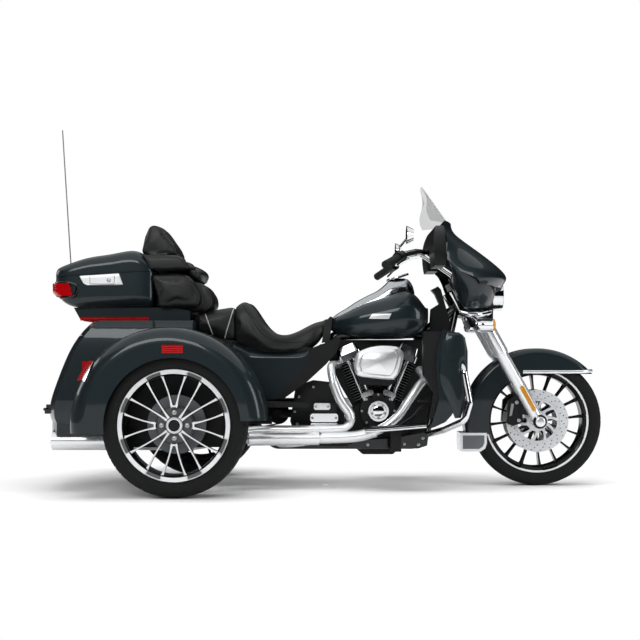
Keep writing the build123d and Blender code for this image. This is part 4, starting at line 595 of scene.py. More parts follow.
def stuffed(node, body, name, drawn_in, cap, rounding):
    """Copy a soft solid, round it, swell it as cloth under pressure, and stand it in for the node."""
    mesh = nodes[node].data.copy()
    pad = bpy.data.objects.new(name, mesh)
    bpy.context.scene.collection.objects.link(pad)
    bpy.context.view_layer.objects.active = pad
    weld = pad.modifiers.new("weld", "WELD")
    weld.merge_threshold = 0.00005
    remesh = pad.modifiers.new("even mesh", "REMESH")
    remesh.mode, remesh.voxel_size = "VOXEL", VOXEL
    relax = pad.modifiers.new("rounding", "SMOOTH")
    relax.factor, relax.iterations = 0.5, rounding
    settled = bpy.data.meshes.new_from_object(pad.evaluated_get(bpy.context.evaluated_depsgraph_get()))
    pad.modifiers.clear()
    pad.data = settled
    count = len(settled.vertices)
    start = np.empty(count * 3)
    settled.vertices.foreach_get("co", start)
    normal = np.empty(count * 3)
    settled.vertices.foreach_get("normal", normal)
    start, normal = start.reshape(-1, 3), normal.reshape(-1, 3)
    start = start - normal * drawn_in
    settled.vertices.foreach_set("co", start.reshape(-1))
    cloth = pad.modifiers.new("stuffing", "CLOTH")
    cloth.settings.use_pressure = True
    cloth.settings.uniform_pressure_force = PRESSURE
    cloth.settings.effector_weights.gravity = 0
    cloth.point_cache.frame_end = FRAMES
    scene = bpy.context.scene
    for frame_number in range(1, FRAMES + 1):
        scene.frame_set(frame_number)
    swollen = bpy.data.meshes.new_from_object(pad.evaluated_get(bpy.context.evaluated_depsgraph_get()))
    end = np.empty(count * 3)
    swollen.vertices.foreach_get("co", end)
    move = end.reshape(-1, 3) - start
    length = np.linalg.norm(move, axis=1, keepdims=True)
    start = start + move * np.minimum(1, cap / np.maximum(length, 1e-9))
    pad.modifiers.clear()
    settled.vertices.foreach_set("co", start.reshape(-1))
    scene.frame_set(1)
    settled.polygons.foreach_set("use_smooth", np.ones(len(settled.polygons), bool))
    settled.materials.clear()
    settled.materials.append(leather)
    settled.update()
    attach(pad, body)
    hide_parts(node)
    print(name, count, "vertices")
    return pad


# columns: node, body, drawn in, cap on the swelling, rounding passes
pads = {}
for node, body, drawn_in, cap, rounding in (
        ("rider_seat", "chassis", 0.001, 0.005, 8),
        ("pillion_seat", "chassis", 0.001, 0.005, 6),
        ("case_pads", "chassis", 0.0, 0.006, 20),
        ("lid_pads", "lid_body", 0.0, 0.006, 26)):
    pads[node] = stuffed(node, body, f"{node}_cover", drawn_in, cap, rounding)

# %% [markdown]
# Seams, piping and badges follow the surface they sit on. Their line is drawn as it is seen from
# the side, in x and z, and each point of it is then dropped onto the piece below, which gives the
# third coordinate. That way a stripe stays on the tank however the tank is shaped.

# %% Drawing on a surface
from mathutils.bvhtree import BVHTree

trees = {}


def tree_of(piece):
    """A search tree over the faces of a piece, kept so that each is made once."""
    if piece.name not in trees:
        mesh = piece.data
        trees[piece.name] = BVHTree.FromPolygons([v.co for v in mesh.vertices],
            [list(p.vertices) for p in mesh.polygons])
    return trees[piece.name]


def evenly(points, samples):
    """Points spaced evenly along the straight runs of a line."""
    points = np.asarray(points, float)
    along = np.concatenate([[0], np.cumsum(np.linalg.norm(np.diff(points, axis=0), axis=1))])
    t = np.linspace(0, along[-1], samples)
    return np.stack([np.interp(t, along, points[:, axis]) for axis in range(points.shape[1])], -1)


def dropped(piece, outline, side):
    """Drop (x, z) points onto the side surface of a piece, from the right (-1) or the left (1)."""
    tree, outline = tree_of(piece), np.asarray(outline, float)
    hits = [tree.ray_cast(Vector((x, side * 2.0, z)), Vector((0, -side, 0)))[0] for x, z in outline]
    found = np.array([np.nan if hit is None else hit.y for hit in hits])
    index, good = np.arange(len(found)), ~np.isnan(found)
    return np.stack([outline[:, 0], np.interp(index, index[good], found[good]), outline[:, 1]], -1)


def between(front, back):
    """A closed slab between two grids of points of the same size."""
    front, back = np.asarray(front, float), np.asarray(back, float)
    rows, columns = front.shape[:2]
    points = np.vstack([front.reshape(-1, 3), back.reshape(-1, 3)])
    index = np.arange(rows * columns).reshape(rows, columns)
    other = index + rows * columns
    quads = [np.stack([g[:-1, :-1], g[:-1, 1:], g[1:, 1:], g[1:, :-1]], -1).reshape(-1, 4)
        for g in (index, other[::-1])]
    for a, b in ((index[0], other[0]), (index[-1][::-1], other[-1][::-1]),
                 (index[:, 0][::-1], other[:, 0][::-1]), (index[:, -1], other[:, -1])):
        quads.append(np.stack([a[1:], a[:-1], b[:-1], b[1:]], -1))
    return points, np.vstack(quads).tolist()


def patches(piece, top, bottom, lift, sides=(-1, 1), sink=0.002, columns=40, rows=6):
    """Thin slabs, one a side, that hug the surface between a top line and a bottom line of (x, z) points."""
    top, bottom = evenly(top, columns), evenly(bottom, columns)
    share = np.linspace(0, 1, rows)[:, None, None]
    grid = top[None] * (1 - share) + bottom[None] * share
    flats = [(side, dropped(piece, grid.reshape(-1, 2), side).reshape(rows, columns, 3)) for side in sides]
    return [between(flat + [0, side * lift, 0], flat - [0, side * sink, 0]) for side, flat in flats]


def beads(piece, outline, radius, sides=(-1, 1), straight=False, samples=80, around=8):
    """Thin round beads, one a side, along a line of (x, z) points on the surface."""
    outline = evenly(outline, samples) if straight else smooth_path(outline, samples)
    return [skin(along_path(dropped(piece, outline, side), round_section(radius, around), up=(0, 1, 0)))
        for side in sides]


def lathe(profile, centre, axis, steps=48):
    """A closed profile of (along, radius) pairs turned about any axis through centre."""
    profile = np.asarray(profile, float)
    axis = np.asarray(axis, float) / np.linalg.norm(axis)
    helper = np.array([0.0, 0.0, 1.0]) if abs(axis[2]) < 0.9 else np.array([1.0, 0.0, 0.0])
    first = np.cross(axis, helper)
    first /= np.linalg.norm(first)
    second = np.cross(axis, first)
    angle = np.linspace(0, 2 * np.pi, steps, endpoint=False)[:, None, None]
    along, radius = profile[None, :, :1], profile[None, :, 1:]
    rings = np.asarray(centre) + along * axis + radius * (np.cos(angle) * first + np.sin(angle) * second)
    return skin(rings, closed_along=True)


def dome(radius, height, eye=0.0006):
    """A closed profile for a low dome on a short wall."""
    a = np.linspace(0, np.pi / 2, 7)
    arc = [(height * 0.4 + height * 0.6 * math.sin(t), radius * math.cos(t) + eye) for t in a.tolist()]
    return [(0, eye), (0, radius)] + arc


def plank(path, width, thickness, up=(0, 1, 0), chamfer=0.25):
    """A flat bar along a path: width lies sideways of up and thickness along up, with chamfered edges."""
    w, t = width / 2, thickness / 2
    c = chamfer * min(width, thickness)
    section = [(w - c, -t), (w, -t + c), (w, t - c), (w - c, t), (-w + c, t), (-w, t - c), (-w, -t + c), (-w + c, -t)]
    return skin(along_path(path, section, up))


def prism(outline, low, high):
    """A closed slab between two planes of constant Y over an (x, z) outline."""
    outline = np.asarray(outline, float)
    count = len(outline)
    points = np.vstack([np.column_stack([outline[:, 0], np.full(count, y), outline[:, 1]]) for y in (low, high)])
    ring = np.arange(count)
    after = (ring + 1) % count
    sides = np.stack([ring, ring + count, after + count, after], -1).tolist()
    return points, [ring.tolist(), (ring + count)[::-1].tolist()] + sides


# %% [markdown]
# The fork's lower legs are polished aluminium castings that slide on darker tubes. Each carries an
# amber reflector on its outer side and holds one end of the axle.

# %% Fork legs, reflectors and axle caps
FORK_ANGLE = math.radians(29)
AXLE = np.array(FRONT_CENTRE)
leg_axis = np.array([-math.sin(FORK_ANGLE), 0, math.cos(FORK_ANGLE)])


def on_leg(z, side):
    """The point of a fork leg's centre line at a height z."""
    return AXLE + [0, side * 0.11, 0] + leg_axis * (z - AXLE[2]) / leg_axis[2]


legs, reflectors, caps = [], [], []
for side in (-1, 1):
    length = (0.64 - AXLE[2]) / leg_axis[2]
    legs.append(lathe([(0.0, 0.0285), (0.0, 0.0296), (0.02, 0.03), (length - 0.012, 0.03), (length - 0.006, 0.0335),
        (length, 0.0338), (length, 0.0285)], on_leg(AXLE[2], side), leg_axis))
    cover = (0.785 - 0.64) / leg_axis[2]
    legs.append(lathe([(0.0, 0.0328), (0.002, 0.035), (0.006, 0.0356), (cover, 0.0356), (cover, 0.0328)],
        on_leg(0.64, side), leg_axis))
    lug = [(-0.0296, 0.0335), (-0.0296, 0.0343), (-0.026, 0.0352), (0.026, 0.0352), (0.0296, 0.0343), (0.0296, 0.0335)]
    legs.append(lathe(lug, AXLE + [0, side * 0.11, 0], (0, 1, 0)))
    ends = [on_leg(z, side) + [0.004, side * 0.0305, 0] for z in (0.366, 0.482)]
    reflectors.append(plank(evenly(ends, 6), 0.02, 0.006))
    caps.append(lathe(dome(0.023, 0.008), AXLE + [0, side * 0.1518, 0], (0, side, 0)))
add_piece("fork_legs_polished", legs, "front_end", polished, crisp=40)
add_piece("fork_reflectors", reflectors, "front_end", amber_lens, crisp=40)
add_piece("axle_caps", caps, "front_end", polished, crisp=40)
print("fork trim", len(legs))

# %% [markdown]
# The calipers are black castings held by bright bolts, with the edge of a brake pad showing between.

# %% Caliper trim
pad_edge = [(0.88, 0.338), (0.892, 0.342), (0.902, 0.398), (0.889, 0.398)]
trim = [lathe(dome(0.0085, 0.006), (x, -0.1095, z), (0, -1, 0), 24) for x, z in ((0.915, 0.404), (0.95, 0.338),
    (0.925, 0.318))]
trim.append(prism(pad_edge, -0.112, -0.108))
add_piece("caliper_trim", [both_sides(part) for part in trim], "front_end", bare_steel, crisp=30)

# %% [markdown]
# A chrome strip edges the front fender and wraps round its tip, and a plate closes its tail. Both
# are pressed strips that clip over the painted edge, so they stand a few millimetres proud of it.

# %% Front fender trim
strip_half = [(0.95, -0.0835, 0.55), (1.06, -0.0835, 0.55), (1.16, -0.0835, 0.55), (1.235, -0.0835, 0.551),
    (1.275, -0.066, 0.553), (1.291, -0.034, 0.554)]
strip_path = smooth_path(strip_half + [(1.295, 0.0, 0.555)] + [(x, -y, z) for x, y, z in strip_half[::-1]], 120)
add_piece("fender_strip", [plank(strip_path, 0.007, 0.016, up=(0, 0, 1), chamfer=0.4)], "front_end", polished,
    crisp=50)

# %% [markdown]
# The headlamp is a deep chrome shell with a clear lens and a bright bowl behind it. The turn lamps
# are chrome cans with amber lenses on a bar below it. All are turned shapes, so each is a profile
# carried round its axis.

# %% Headlamp and turn lamps
lamp_centre = (0.0, 0.0, 0.921)
shell = [(0.768, 0.05), (0.77, 0.06), (0.776, 0.068), (0.79, 0.0735), (0.82, 0.0735), (0.842, 0.0725), (0.852, 0.0735),
    (0.858, 0.072), (0.86, 0.066), (0.856, 0.064), (0.846, 0.064), (0.8, 0.055), (0.785, 0.04), (0.778, 0.04)]
add_piece("headlamp_shell", [lathe(shell, lamp_centre, (1, 0, 0), 72)], "front_end", chrome, crisp=45,
    replaces=("headlamp",))
bowl = [(0.785, 0.001), (0.785, 0.041), (0.802, 0.056), (0.838, 0.0635), (0.838, 0.061), (0.806, 0.052),
    (0.792, 0.038), (0.79, 0.001)]
bulb = [(0.79, 0.0006), (0.79, 0.009), (0.7909, 0.0111), (0.793, 0.012), (0.815, 0.012), (0.8171, 0.0111),
    (0.818, 0.009), (0.818, 0.0006)]
add_piece("headlamp_bowl", [lathe(bowl, lamp_centre, (1, 0, 0), 72), lathe(bulb, lamp_centre, (1, 0, 0), 24)],
    "front_end", chrome)
lens = [(0.84, 0.001), (0.84, 0.0635), (0.852, 0.0635), (0.858, 0.06), (0.8625, 0.045), (0.8635, 0.02),
    (0.8637, 0.001)]
add_piece("headlamp_lens", [lathe(lens, lamp_centre, (1, 0, 0), 72)], "front_end", clear_lens, crisp=50)
cans, ambers = [], []
for side in (-1, 1):
    centre_line = (0.0, side * 0.222, 0.772)
    cans.append(lathe([(0.7, 0.001), (0.7, 0.014), (0.704, 0.023), (0.714, 0.0295), (0.73, 0.0322), (0.778, 0.0322),
        (0.78, 0.0335), (0.784, 0.0335), (0.785, 0.0315), (0.78, 0.03), (0.78, 0.001)], centre_line, (1, 0, 0)))
    ambers.append(lathe([(0.7805, 0.001), (0.7805, 0.03), (0.789, 0.0298), (0.794, 0.026), (0.797, 0.015),
        (0.798, 0.001)], centre_line, (1, 0, 0)))
add_piece("turn_lamp_cans", cans, "front_end", chrome, crisp=45, replaces=("turn_lamps",))
add_piece("turn_lamp_lenses", ambers, "front_end", amber_lens, crisp=50)
print("lamps turned")

# %% [markdown]
# The tank carries a plain silver stripe on each side, and a fine seam where its front panel begins.
# Real stripes are thin film under the lacquer; here each is a film three tenths of a millimetre proud.

# %% Tank stripe and seam
stripe_film, tree, shader, place = new_material("silver stripe film", Metallic=0.7, Roughness=0.3, Coat_Weight=1.0)
tinted(tree, noise(tree, place, 1.5), "#C9CCCE", "#E2E4E5", shader)
seam_black = coated("dark seam gap", "#060707", "#0C0D0D", 0.5, 0.6, 2, 0.05)
tank = nodes["tank"]
stripes = patches(tank, [(0.222, 0.8285), (0.312, 0.8285)], [(0.203, 0.8035), (0.3, 0.8035)], 0.0004)
add_piece("tank_stripes", stripes, "chassis", stripe_film)
seam = ((0.285, 0.722), (0.38, 0.724), (0.43, 0.737), (0.46, 0.775), (0.468, 0.82), (0.46, 0.86), (0.438, 0.893),
    (0.405, 0.918))
add_piece("tank_seams", beads(tank, seam, 0.0014), "chassis", seam_black)

# %% [markdown]
# On top of the tank sits a chrome console with a dial, a row of warning lights and the filler flap.
# The dial's face is black with plain tick marks, under glass.

# %% Console and dial
# columns: x, height of the cover's top, height where its skirt meets the tank, half width
CONSOLE = np.array([(0.03, 0.812, 0.795, 0.02), (0.06, 0.835, 0.8, 0.04), (0.1, 0.859, 0.82, 0.052),
                    (0.15, 0.892, 0.845, 0.058), (0.2, 0.919, 0.865, 0.062), (0.25, 0.944, 0.885, 0.066),
                    (0.285, 0.972, 0.9, 0.069), (0.31, 0.994, 0.908, 0.07), (0.35, 1.004, 0.915, 0.07),
                    (0.395, 1.002, 0.918, 0.066), (0.42, 0.975, 0.915, 0.056), (0.43, 0.945, 0.91, 0.04)])
stations = smooth_path(CONSOLE[:, :3], 60)
half = np.interp(stations[:, 0], CONSOLE[:, 0], CONSOLE[:, 3])
turn = np.linspace(0, 2 * np.pi, 56, endpoint=False)
a, b = (np.sign(wave) * np.abs(wave) ** 0.75 for wave in (np.cos(turn), np.sin(turn)))
top, low = stations[:, 1:2], stations[:, 2:3]
rings = np.stack([np.broadcast_to(stations[:, :1], (60, 56)), half[:, None] * a,
    low + np.where(b > 0, (top - low) * b, 0.025 * b)], -1)
add_piece("console_cover", [skin(rings)], "chassis", plated, replaces=("console",))
dial_centre = np.array([0.352, 0.0, 1.006])
dial_axis = np.array([-0.3, 0.0, 0.954])
bezel = [(0.0, 0.046), (0.0, 0.056), (0.005, 0.0565), (0.01, 0.054), (0.011, 0.05), (0.008, 0.046)]
face = [(0.0, 0.001), (0.0, 0.0475), (0.005, 0.0475), (0.005, 0.001)]
glass = [(0.0062, 0.001), (0.0062, 0.047), (0.008, 0.047), (0.0092, 0.02), (0.0095, 0.001)]
add_piece("dial_bezel", [lathe(bezel, dial_centre, dial_axis, 64)], "chassis", chrome, crisp=50)
add_piece("dial_face", [lathe(face, dial_centre, dial_axis, 64)], "chassis", satin_black, crisp=50)
across_dial = np.array([0.0, 1.0, 0.0])
up_dial = np.cross(dial_axis, across_dial)
ticks = []
for degrees in range(-120, 121, 20):
    turn = math.radians(degrees)
    way = across_dial * math.sin(turn) + up_dial * math.cos(turn)
    ends = [dial_centre + dial_axis * 0.0054 + way * reach for reach in (0.034, 0.043)]
    ticks.append(plank(evenly(ends, 3), 0.0016, 0.0008, up=tuple(dial_axis)))
needle = [dial_centre + dial_axis * 0.0056 + way * reach for reach in (-0.006, 0.034)]
ticks.append(plank(evenly(needle, 3), 0.0018, 0.0008, up=tuple(dial_axis)))
add_piece("dial_ticks", ticks, "chassis", stripe_film)
add_piece("dial_glass", [lathe(glass, dial_centre, dial_axis, 64)], "chassis", screen_sheet)
print("console dressed")

# %% [markdown]
# The engine is what people look at on such a machine. The cylinders carry closely stacked cooling
# fins, cast black with the edges cut bright. Each cylinder is one stack of rounded squares along its
# axis whose half width switches between core and fin, so the fins are real slots in the mesh.

# %% Cylinders
CRANK = np.array([0.25, 0.0, 0.3])
BANK_ANGLE = math.radians(22.5)
FIN_COUNT = 15
FIN_STEPS = 48


def bank(side, across, depth, up):
    """A point in a cylinder's own frame: across in the machine's plane, depth in Y, up along the bore."""
    lean = side * BANK_ANGLE
    return CRANK + np.stack(np.broadcast_arrays(across * math.cos(lean) + up * math.sin(lean), depth,
        up * math.cos(lean) - across * math.sin(lean)), -1)


def finned_barrel(side, low, high):
    """Rings of |a|^4 + |b|^4 = 1 squares stacked along the bore; a fin is wide, the core between is narrow."""
    pitch = (high - low) / FIN_COUNT
    place, width, value = [low - 0.004], [0.72], [0.0]
    for fin in range(FIN_COUNT):
        start = low + fin * pitch
        # columns: place in the pitch, half width, how bright the cut edge is
        for share, wide, bright in ((0.0, 0.72, 0), (0.3, 0.74, 0), (0.36, 0.985, 0.44), (0.44, 1.0, 0.48),
                                    (0.56, 1.0, 0.48), (0.64, 0.985, 0.44), (0.7, 0.74, 0)):
            place.append(start + share * pitch)
            width.append(wide)
            value.append(bright)
    turn = np.linspace(0, 2 * np.pi, FIN_STEPS, endpoint=False)[None, :]
    a, b = (np.sign(wave) * np.abs(wave) ** 0.5 for wave in (np.cos(turn), np.sin(turn)))
    wide = np.array(width)[:, None]
    rings = bank(side, 0.068 * wide * a, 0.062 * wide * b, np.array(place)[:, None] + 0 * a)
    points, faces = skin(rings)
    return (points, faces), np.concatenate([np.repeat(value, FIN_STEPS), [0, 0]])


barrels = [finned_barrel(side, 0.136, 0.334) for side in (-1, 1)]
cast_piece("cylinder_fins", "cylinders", "chassis", barrels, 35)
print("fins", 2 * FIN_COUNT)

# %% [markdown]
# The air cleaner's cover is a shallow pressed dome. Its outline is drawn once and then drawn again
# smaller and further out, which gives the crown and the raised shield in the middle of it.

# %% Air cleaner cover
air_outline = smooth_path([(0.13, 0.59), (0.149, 0.64), (0.199, 0.666), (0.262, 0.676), (0.33, 0.672), (0.35, 0.66),
    (0.366, 0.63), (0.35, 0.56), (0.326, 0.521), (0.299, 0.514), (0.16, 0.53), (0.136, 0.558), (0.13, 0.59)], 97)[:-1]
air_middle = np.array([0.248, 0.597])
# columns: share of the outline, distance out from the centre plane
AIR_RINGS = ((1.0, 0.15), (1.0, 0.226), (0.992, 0.232), (0.97, 0.2365), (0.92, 0.2405), (0.84, 0.2435), (0.76, 0.245),
    (0.75, 0.2462), (0.735, 0.2475), (0.7, 0.249), (0.55, 0.2535), (0.35, 0.257), (0.15, 0.2588), (0.03, 0.2592))
rings = np.stack([np.concatenate([air_middle[0] + share * (air_outline[:, :1] - air_middle[0]),
    np.full((len(air_outline), 1), -out), air_middle[1] + share * (air_outline[:, 1:] - air_middle[1])], 1)
    for share, out in AIR_RINGS])
add_piece("air_cleaner_cover", [skin(rings)], "chassis", polished, crisp=60)
backing = [(0.128, 0.585), (0.15, 0.53), (0.17, 0.492), (0.3, 0.486), (0.335, 0.515), (0.36, 0.57), (0.34, 0.6),
    (0.16, 0.6)]
add_piece("air_cleaner_backing", [prism(backing, -0.222, -0.092)], "chassis", satin_black, smooth=False)

# %% [markdown]
# Small chrome covers and bolt heads catch the light all over the black castings: the cam cover with
# its rings, two tappet covers, and two covers on the end of the gearbox. Each bolt is a low dome.

# %% Covers and bolts
cam_cap = [(0.16, 0.001), (0.16, 0.0505), (0.1735, 0.0505), (0.1765, 0.048), (0.1765, 0.0385), (0.1735, 0.0365),
    (0.1735, 0.0275), (0.1775, 0.026), (0.179, 0.0225), (0.179, 0.001)]
cam_face = (0.25, 0.0, 0.365)
covers = [lathe(cam_cap, cam_face, (0, -1, 0), 64)]
# columns: x, z, width, height, low y, high y, tilt in degrees
for x, z, width, height, low, high, tilt in (
        (0.197, 0.446, 0.062, 0.024, -0.152, -0.12, -22.5), (0.303, 0.446, 0.062, 0.024, -0.152, -0.12, 22.5),
        (0.2, 0.428, 0.046, 0.018, -0.148, -0.12, -22.5), (0.3, 0.428, 0.046, 0.018, -0.148, -0.12, 22.5),
        (-0.018, 0.386, 0.078, 0.032, -0.143, -0.128, 0), (-0.008, 0.332, 0.132, 0.04, -0.145, -0.128, 0),
        (-0.008, 0.3, 0.126, 0.012, -0.14, -0.128, 0)):
    lean = math.radians(tilt)
    covers.append(plank(evenly([(x, low, z), (x, high, z)], 3), width, height, up=(math.sin(lean), 0, math.cos(lean)),
        chamfer=0.2))
add_piece("engine_covers", covers, "chassis", chrome, crisp=35)


def bolts(places, radius, height):
    """Low domes facing the right side at (x, y, z) places."""
    return [lathe(dome(radius, height), place, (0, -1, 0), 16) for place in places]


ring_bolts = [(0.25 + 0.078 * math.sin(t), -0.148, 0.365 + 0.078 * math.cos(t))
    for t in np.radians([0, 45, 90, 135, 180, 225, 270, 315]).tolist()]
ring_bolts += [(0.25 + 0.032 * math.sin(t), -0.1735, 0.365 + 0.032 * math.cos(t))
    for t in np.radians([36, 108, 180, 252, 324]).tolist()]
box_bolts = [(x, -0.0805, z) for x, z in ((-0.138, 0.3), (-0.15, 0.36), (-0.13, 0.43), (-0.06, 0.478), (0.03, 0.47),
    (0.06, 0.42))]
cover_bolts = [(x, -0.1435, z) for x, z in ((-0.048, 0.386), (0.012, 0.386), (-0.064, 0.332), (0.048, 0.332))]
add_piece("engine_bolts", bolts(ring_bolts, 0.0055, 0.004) + bolts(box_bolts, 0.007, 0.006) +
    bolts(cover_bolts, 0.0055, 0.005), "chassis", bare_steel)

# %% [markdown]
# Where the frame meets the steering head a black cover hides the wiring, and the lower rails carry
# black cast brackets for the footboards. They are dark and matt, and give the chrome its setting.

# %% Dark covers round the frame
neck = [(0.512, 0.948), (0.545, 0.965), (0.56, 0.95), (0.585, 0.86), (0.608, 0.78), (0.59, 0.7), (0.56, 0.69),
    (0.5, 0.72), (0.508, 0.79), (0.512, 0.855), (0.552, 0.88), (0.532, 0.925)]
lower = [(0.4, 0.25), (0.47, 0.262), (0.488, 0.24), (0.482, 0.2), (0.44, 0.186), (0.12, 0.186), (0.1, 0.2),
    (0.16, 0.225), (0.33, 0.235)]
add_piece("neck_cover", [prism(neck, -0.03, 0.03)], "chassis", satin_black, smooth=False)
add_piece("footboard_brackets", [both_sides(prism(lower, -0.152, -0.14))], "chassis", gloss_black,
    smooth=False)
bracket_bolts = [(x, -0.1515, z) for x, z in ((0.462, 0.236), (0.44, 0.205), (0.372, 0.208), (0.345, 0.222),
    (0.2, 0.205))]
board_edge = [(0.182, -0.3585, 0.281), (0.3, -0.3585, 0.289), (0.462, -0.3585, 0.303)]
edges = [plank(evenly(board_edge, 12), 0.005, 0.013, up=(0, 0, 1), chamfer=0.4)]
add_piece("bracket_bolts", bolts(bracket_bolts, 0.008, 0.006), "chassis", bare_steel)
add_piece("footboard_edges", [both_sides(edges[0])], "chassis", chrome, crisp=50)
print("engine dressed")

# %% [markdown]
# Below its crease the fairing turns in towards the headlamp. Each cheek is a sheet drawn between two
# lines, the crease above and the rim of the chrome nacelle below. The nacelle ends in the turn lamps.

# %% Fairing cheeks and chrome nacelle
crease = smooth_path([(0.566, 0.376, 1.06), (0.6, 0.366, 1.032), (0.632, 0.358, 1.016), (0.662, 0.34, 1.004),
    (0.692, 0.316, 0.994), (0.728, 0.29, 0.988), (0.764, 0.246, 0.984), (0.794, 0.196, 0.984), (0.812, 0.13, 0.984)],
    40)
rim_line = smooth_path([(0.588, 0.215, 0.985), (0.606, 0.212, 0.935), (0.632, 0.204, 0.885), (0.66, 0.19, 0.852),
    (0.705, 0.168, 0.843), (0.752, 0.134, 0.848), (0.786, 0.101, 0.856)], 40)
share = np.linspace(0, 1, 14)[:, None, None]
swell = 0.028 * np.sin(np.pi * share)
cheek = crease[None] * (1 - share) + rim_line[None] * share + swell * np.array([0.25, 1.0, -0.1])
cheek = cheek * np.array([1, -1, 1])
add_piece("fairing_cheeks", [both_sides(between(cheek, cheek + [-0.002, 0.003, 0.001]))], "front_end", paint)
spear = smooth_path([(0.64, -0.166, 0.838), (0.68, -0.17, 0.828), (0.725, -0.16, 0.824), (0.77, -0.128, 0.832),
    (0.802, -0.08, 0.846)], 40)
taper = np.sin(np.linspace(0.12, 0.93, 40) * np.pi)[:, None, None] ** 0.6
nacelle_parts = [skin(along_path(spear, round_section(0.017, 18)[None] * taper))]
nacelle_parts.append(tube([(0.69, -0.16, 0.822), (0.705, -0.18, 0.8), (0.728, -0.205, 0.785), (0.745, -0.222, 0.775)],
    0.015, 24, 16))
nacelle_parts.append(tube([(0.64, -0.16, 0.838), (0.625, -0.158, 0.87), (0.606, -0.16, 0.905), (0.592, -0.165, 0.93)],
    0.009, 24, 12))
add_piece("chrome_nacelle", [both_sides(part) for part in nacelle_parts], "front_end", chrome)
print("fairing dressed")

# %% [markdown]
# The tail of the front fender carries a chrome plate with a grey insert on each side.

# %% Fender tail plates
plate_line = [(0.648, 0.256), (0.776, 0.256), (0.776, 0.205), (0.768, 0.18), (0.745, 0.166), (0.656, 0.166),
    (0.648, 0.176)]
insert = [(0.66, 0.244), (0.764, 0.244), (0.764, 0.208), (0.756, 0.19), (0.738, 0.179), (0.66, 0.179)]
add_piece("fender_tail_plates", [both_sides(prism(plate_line, -0.0815, -0.0765)),
    prism([(0.648, 0.168), (0.652, 0.168), (0.652, 0.256), (0.648, 0.256)], -0.077, 0.077)], "front_end", machined,
    smooth=False)
add_piece("fender_tail_inserts", [both_sides(prism(insert, -0.0825, -0.0812))], "front_end", hub_grey,
    smooth=False)

# %% [markdown]
# The case has a bright latch plate on each side, black bezels round its corner lamps, a red light bar
# along its lower edge and a chrome catch on its back. Its lid closes on a bead.

# %% Case trim
case = nodes["case"]
latch_piece = add_piece("latch_plate", patches(case, [(-1.149, 0.999), (-1.138, 1.001), (-0.966, 1.012)],
    [(-1.13, 0.965), (-1.113, 0.957), (-0.946, 0.958)], 0.0045, (-1,)), "chassis", machined,
    replaces=("case_latch",))
frame_line = ((-1.1, 1.0), (-1.1, 0.963), (-0.988, 0.962), (-0.985, 1.007))
add_piece("latch_seam", beads(latch_piece, frame_line, 0.0011, (-1,), straight=True), "chassis", seam_black)
lock_at = dropped(latch_piece, [(-1.012, 0.98)], -1)[0]
add_piece("latch_lock", [lathe(dome(0.009, 0.004), lock_at + [0, 0.001, 0], (0, -1, 0), 24)], "chassis", bare_steel)
bezel_line = ((-1.262, 0.969), (-1.205, 0.969), (-1.172, 0.962), (-1.16, 0.946), (-1.166, 0.918), (-1.182, 0.904),
    (-1.24, 0.9))
add_piece("case_lamp_bezels", beads(case, bezel_line, 0.008), "chassis", gloss_black)
bar = plank(evenly([(-1.156, -0.2165, 0.802), (-0.832, -0.2165, 0.802)], 12), 0.006, 0.017, up=(0, 0, 1))
add_piece("case_light_bars", [both_sides(bar)], "chassis", red_lens, crisp=40)
add_piece("case_catch", [plank(evenly([(-1.272, -0.02, 0.986), (-1.272, 0.02, 0.986)], 3), 0.01, 0.012, up=(0, 0, 1))],
    "chassis", chrome, crisp=40)
lid_line = ((-1.262, 1.003), (-1.1, 1.013), (-0.9, 1.026))
add_piece("lid_bead", beads(nodes["case_lid"], lid_line, 0.0013, straight=True), "lid_body", seam_black)
print("case trimmed")

# %% [markdown]
# The exhaust is two pipes on the right that meet under the footboard, and one that crosses to the
# left silencer. Bright heat shields with rolled ends cover the hottest runs. Each pipe is a tube
# drawn along a smooth path.

# %% Exhaust pipes and heat shields
front_pipe = [(0.452, -0.062, 0.56), (0.47, -0.15, 0.52), (0.436, -0.196, 0.48), (0.39, -0.207, 0.415),
    (0.345, -0.207, 0.35), (0.29, -0.207, 0.3), (0.226, -0.207, 0.268), (0.15, -0.207, 0.248), (0.0, -0.207, 0.24),
    (-0.35, -0.225, 0.237), (-0.4875, -0.326, 0.236), (-0.545, -0.33, 0.236)]
rear_pipe = [(0.06, -0.062, 0.585), (0.026, -0.17, 0.578), (0.036, -0.205, 0.5), (0.067, -0.207, 0.424),
    (0.11, -0.207, 0.36), (0.12, -0.207, 0.325), (0.1, -0.207, 0.295), (0.05, -0.207, 0.284), (-0.15, -0.209, 0.281),
    (-0.33, -0.215, 0.279), (-0.44, -0.27, 0.262)]
cross_pipe = [(0.02, -0.2, 0.24), (-0.14, -0.2, 0.218), (-0.215, -0.15, 0.212), (-0.245, 0.0, 0.212),
    (-0.245, 0.143, 0.212), (-0.3, 0.205, 0.218), (-0.475, 0.326, 0.234), (-0.545, 0.33, 0.236)]
front_shield = [(0.235, -0.207, 0.271), (0.15, -0.209, 0.249), (0.06, -0.209, 0.243), (-0.02, -0.209, 0.241)]
rear_shield = [(-0.032, -0.211, 0.24), (-0.15, -0.213, 0.239), (-0.3, -0.224, 0.238), (-0.365, -0.238, 0.237)]
upper_shield = [(0.034, -0.209, 0.503), (0.066, -0.211, 0.424), (0.109, -0.211, 0.36), (0.118, -0.211, 0.33)]
pipes = [tube(front_pipe, 0.021, 90, 20), tube(rear_pipe, 0.019, 90, 20), tube(cross_pipe, 0.02, 70, 20),
    tube(front_shield, 0.027, 24, 24), tube(rear_shield, 0.033, 24, 24), tube(upper_shield, 0.0225, 24, 24)]
add_piece("exhaust_tubes", pipes, "chassis", polished, crisp=50, replaces=("exhaust_pipes",))

